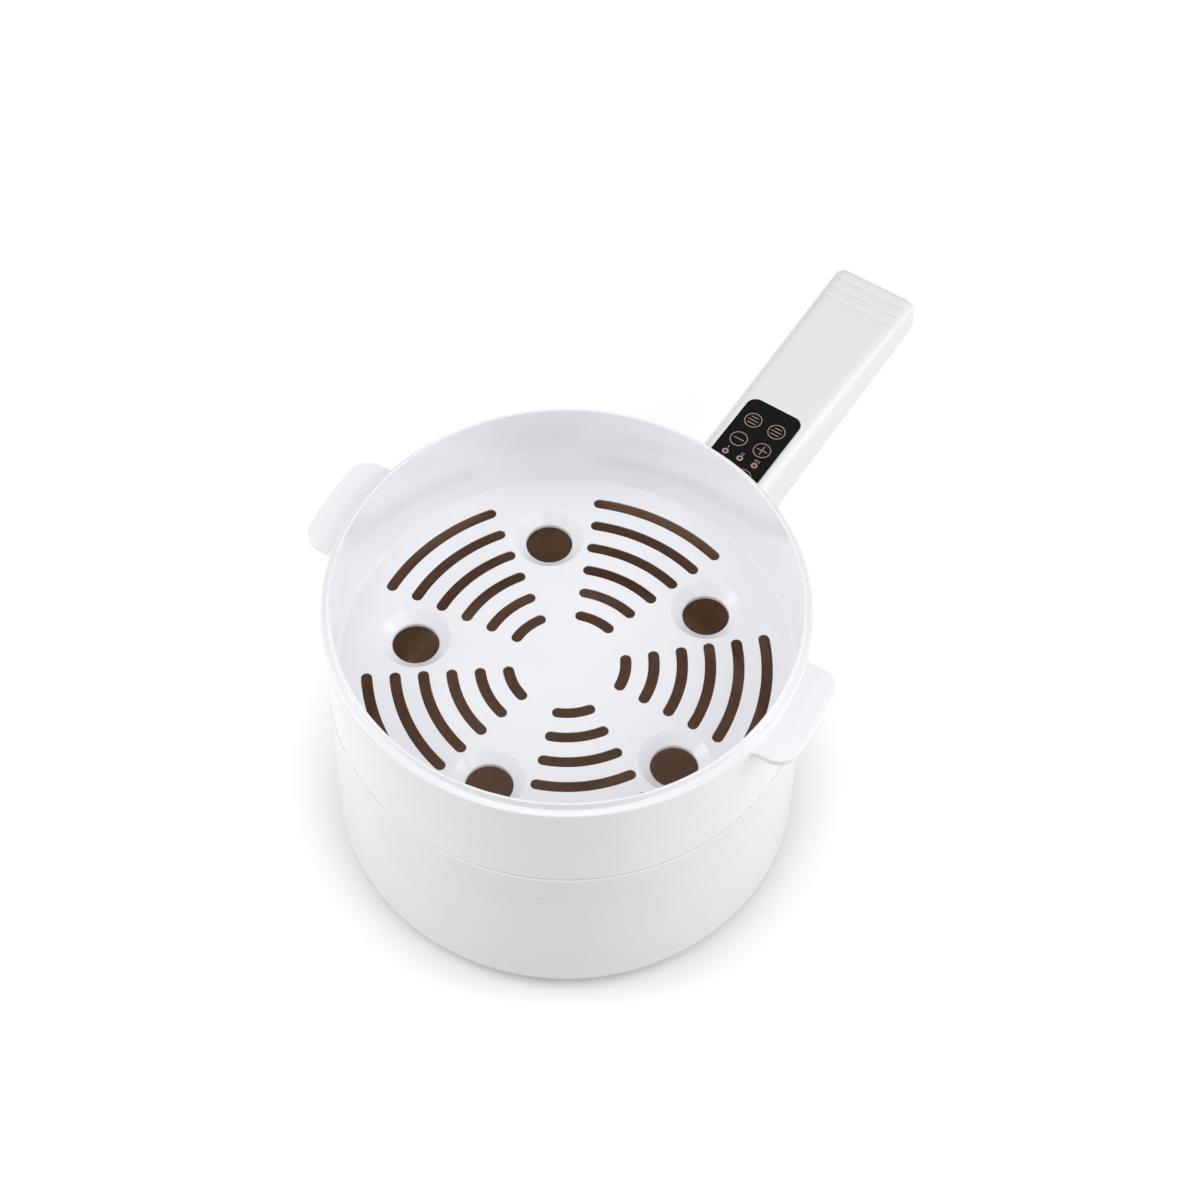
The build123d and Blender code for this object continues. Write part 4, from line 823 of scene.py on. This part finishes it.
# ---------------------------------------------------------------- stage
class HOTPOT_OT_stage(bpy.types.Operator):
    """Camera, floor, lamps and sky"""
    bl_idname = "hotpot.stage"
    bl_label = "Stage"

    ORBIT = math.radians(-57.8)
    ELEVATION = math.radians(55.646)
    ROLL = math.radians(1.232)
    AIM = (0.014545, 0.060195)  # metres to the camera's right and up from the pot's axis
    AIM_HEIGHT = 0.0415
    LENS = 89.16                # millimetres, on a 36 mm frame
    LAMP_DISTANCE = 1.35
    LAMP_AIM_HEIGHT = 0.08
    LAMP_W = 0.65
    TALL_LAMP_H = 1.3
    SHORT_LAMP_H = 0.8
    FLOOR_R = 6.0
    PAINTED_CONTACT_SHADE = 33 * MM     # reach of the soft shade painted into the floor's glow around what stands on the floor
    LIT_R = 0.6                 # the floor is well lit up to here
    UNLIT_R = 2.2               # and hardly any more from here on

    def execute(self, context):
        studio = context.scene.hotpot_studio
        self.camera(context, studio)
        self.floor(context, studio)
        self.lamps(context, studio)
        self.sky(context, studio)
        context.scene.view_settings.view_transform = "Standard"
        return {"FINISHED"}

    def view_axes(self):
        """Level right, level away from the camera, and up, for the camera's orbit."""
        right = Vector((math.cos(self.ORBIT), math.sin(self.ORBIT), 0))
        away = Vector((-math.sin(self.ORBIT), math.cos(self.ORBIT), 0))
        return right, away, Vector((0, 0, 1))

    def camera(self, context, studio):
        """Camera above and in front, rolled a little, without shift or depth of field."""
        level_right, away, sky = self.view_axes()
        back = -away * math.cos(self.ELEVATION) + sky * math.sin(self.ELEVATION)
        level_up = away * math.sin(self.ELEVATION) + sky * math.cos(self.ELEVATION)
        right = level_right * math.cos(self.ROLL) + level_up * math.sin(self.ROLL)
        up = level_up * math.cos(self.ROLL) - level_right * math.sin(self.ROLL)
        aim = Vector((0, 0, self.AIM_HEIGHT)) + right * self.AIM[0] + up * self.AIM[1]
        eye = aim + back * studio.distance
        data = bpy.data.cameras.new("camera")
        data.lens = self.LENS
        made = bpy.data.objects.new("camera", data)
        made.matrix_world = Matrix.Translation(eye) @ Matrix((right, up, back)).transposed().to_4x4()
        context.scene.collection.objects.link(made)
        context.scene.camera = made

    def floor(self, context, studio):
        """White paper that stays white to the eye, keeps the lamps' shadows and has a soft shade
        painted into its glow around what stands on it.
        """
        bm = bmesh.new()
        bmesh.ops.create_circle(bm, cap_ends=True, segments=96, radius=self.FLOOR_R)
        mesh = bpy.data.meshes.new("floor")
        bm.to_mesh(mesh)
        bm.free()
        made = bpy.data.objects.new("floor", mesh)
        context.scene.collection.objects.link(made)
        material = bpy.data.materials.new("white_paper_sweep")
        material.use_nodes = True
        tree = material.node_tree
        tree.nodes.clear()
        path = add(tree, "ShaderNodeLightPath")
        rays = {0: path.outputs["Is Camera Ray"], 1: path.outputs["Is Glossy Ray"]}
        seen = add(tree, "ShaderNodeMath", rays, operation="MAXIMUM")
        # Painted shade: ambient occlusion darkens the floor's glow near what stands on it, as a painted
        # contact shadow
        near = add(tree, "ShaderNodeAmbientOcclusion", {"Distance": self.PAINTED_CONTACT_SHADE}, samples=8)
        spot = add(tree, "ShaderNodeTexCoord").outputs["Object"]
        away = add(tree, "ShaderNodeVectorMath", {0: spot}, operation="LENGTH")
        # The lamps light only the middle of the sweep, so its glow grows outwards
        reach = {
            "Value": away.outputs["Value"], "From Min": self.LIT_R, "From Max": self.UNLIT_R,
            "To Min": studio.glow, "To Max": 1.0,
        }
        glow = add(tree, "ShaderNodeMapRange", reach)
        shaded = {0: near.outputs["AO"], 1: glow.outputs["Result"]}
        glow_with_painted_shade = add(tree, "ShaderNodeMath", shaded, operation="MULTIPLY")
        when_seen = {0: seen.outputs["Value"], 1: glow_with_painted_shade.outputs["Value"]}
        lift = add(tree, "ShaderNodeMath", when_seen, operation="MULTIPLY")
        paper = add(tree, "ShaderNodeBsdfDiffuse", {"Color": linear("#D4D4D4")})
        white = linear("#FFFFFF")
        lit = add(tree, "ShaderNodeEmission", {"Color": white, "Strength": lift.outputs["Value"]})
        both = add(tree, "ShaderNodeAddShader", {0: paper.outputs["BSDF"], 1: lit.outputs["Emission"]})
        add(tree, "ShaderNodeOutputMaterial", {"Surface": both.outputs["Shader"]})
        mesh.materials.append(material)

    def lamp(self, context, name, watts, turn, rise, size):
        """Softbox that faces the pot, turned and raised in degrees from the camera's right."""
        right, away, up = self.view_axes()
        level = right * math.cos(math.radians(turn)) + away * math.sin(math.radians(turn))
        facing = level * math.cos(math.radians(rise)) + up * math.sin(math.radians(rise))
        data = bpy.data.lights.new(name, "AREA")
        data.shape = "RECTANGLE"
        data.size, data.size_y = size
        data.energy = watts
        made = bpy.data.objects.new(name, data)
        eye = Vector((0, 0, self.LAMP_AIM_HEIGHT)) + facing * self.LAMP_DISTANCE
        turned = facing.to_track_quat("Z", "Y").to_matrix().to_4x4()
        made.matrix_world = Matrix.Translation(eye) @ turned
        context.scene.collection.objects.link(made)

    def lamps(self, context, studio):
        """Two tall softboxes at the sides and two short ones high up near the camera."""
        tall, short = (self.LAMP_W, self.TALL_LAMP_H), (self.LAMP_W, self.SHORT_LAMP_H)
        self.lamp(context, "left_softbox", studio.left, turn=180, rise=28, size=tall)
        self.lamp(context, "right_softbox", studio.right, turn=0, rise=27, size=tall)
        self.lamp(context, "near_left_lamp", studio.near_left, turn=232, rise=63, size=short)
        self.lamp(context, "near_right_lamp", studio.near_right, turn=315, rise=45, size=short)

    def sky(self, context, studio):
        """Even light from all around that looks white where the camera sees it."""
        world = bpy.data.worlds.new("white_studio")
        world.use_nodes = True
        tree = world.node_tree
        tree.nodes.clear()
        path = add(tree, "ShaderNodeLightPath")
        rays = {0: path.outputs["Is Camera Ray"], 1: path.outputs["Is Transmission Ray"]}
        seen = add(tree, "ShaderNodeMath", rays, operation="MAXIMUM")
        even = add(tree, "ShaderNodeBackground", {"Color": linear("#FFFFFF"), "Strength": studio.sky})
        white = add(tree, "ShaderNodeBackground", {"Color": linear("#FFFFFF"), "Strength": 1.0})
        either = {
            0: seen.outputs["Value"],
            1: even.outputs["Background"],
            2: white.outputs["Background"],
        }
        mixed = add(tree, "ShaderNodeMixShader", either)
        add(tree, "ShaderNodeOutputWorld", {"Surface": mixed.outputs["Shader"]})
        context.scene.world = world


# ---------------------------------------------------------------- panel and start
GROUPS = {
    "hotpot_sizes": HotPotSizes,
    "hotpot_colours": HotPotColours,
    "hotpot_studio": HotPotStudio,
}
OPERATORS = (
    HOTPOT_OT_steamer_basket,
    HOTPOT_OT_housing,
    HOTPOT_OT_inner_pot,
    HOTPOT_OT_handle,
    HOTPOT_OT_underside,
    HOTPOT_OT_inside,
    HOTPOT_OT_stage,
)


class HOTPOT_PT_sidebar(bpy.types.Panel):
    """Lists the sizes, the colours and the steps that build the hot pot"""
    bl_label = "Hot pot"
    bl_idname = "HOTPOT_PT_sidebar"
    bl_space_type = "VIEW_3D"
    bl_region_type = "UI"
    bl_category = "Hot pot"

    def draw(self, context):
        for name, group in GROUPS.items():
            box = self.layout.box()
            for value in group.__annotations__:
                box.prop(getattr(context.scene, name), value)
        for operator in OPERATORS:
            self.layout.operator(operator.bl_idname)


def register():
    for name, group in GROUPS.items():
        bpy.utils.register_class(group)
        setattr(bpy.types.Scene, name, PointerProperty(type=group))
    for cls in (*OPERATORS, HOTPOT_PT_sidebar):
        bpy.utils.register_class(cls)


def unregister():
    for cls in (HOTPOT_PT_sidebar, *reversed(OPERATORS)):
        bpy.utils.unregister_class(cls)
    for name, group in GROUPS.items():
        delattr(bpy.types.Scene, name)
        bpy.utils.unregister_class(group)


def main():
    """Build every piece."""
    register()
    for operator in OPERATORS:
        step = getattr(bpy.ops.hotpot, operator.bl_idname.split(".")[1])
        step()


if __name__ == "__main__":
    main()
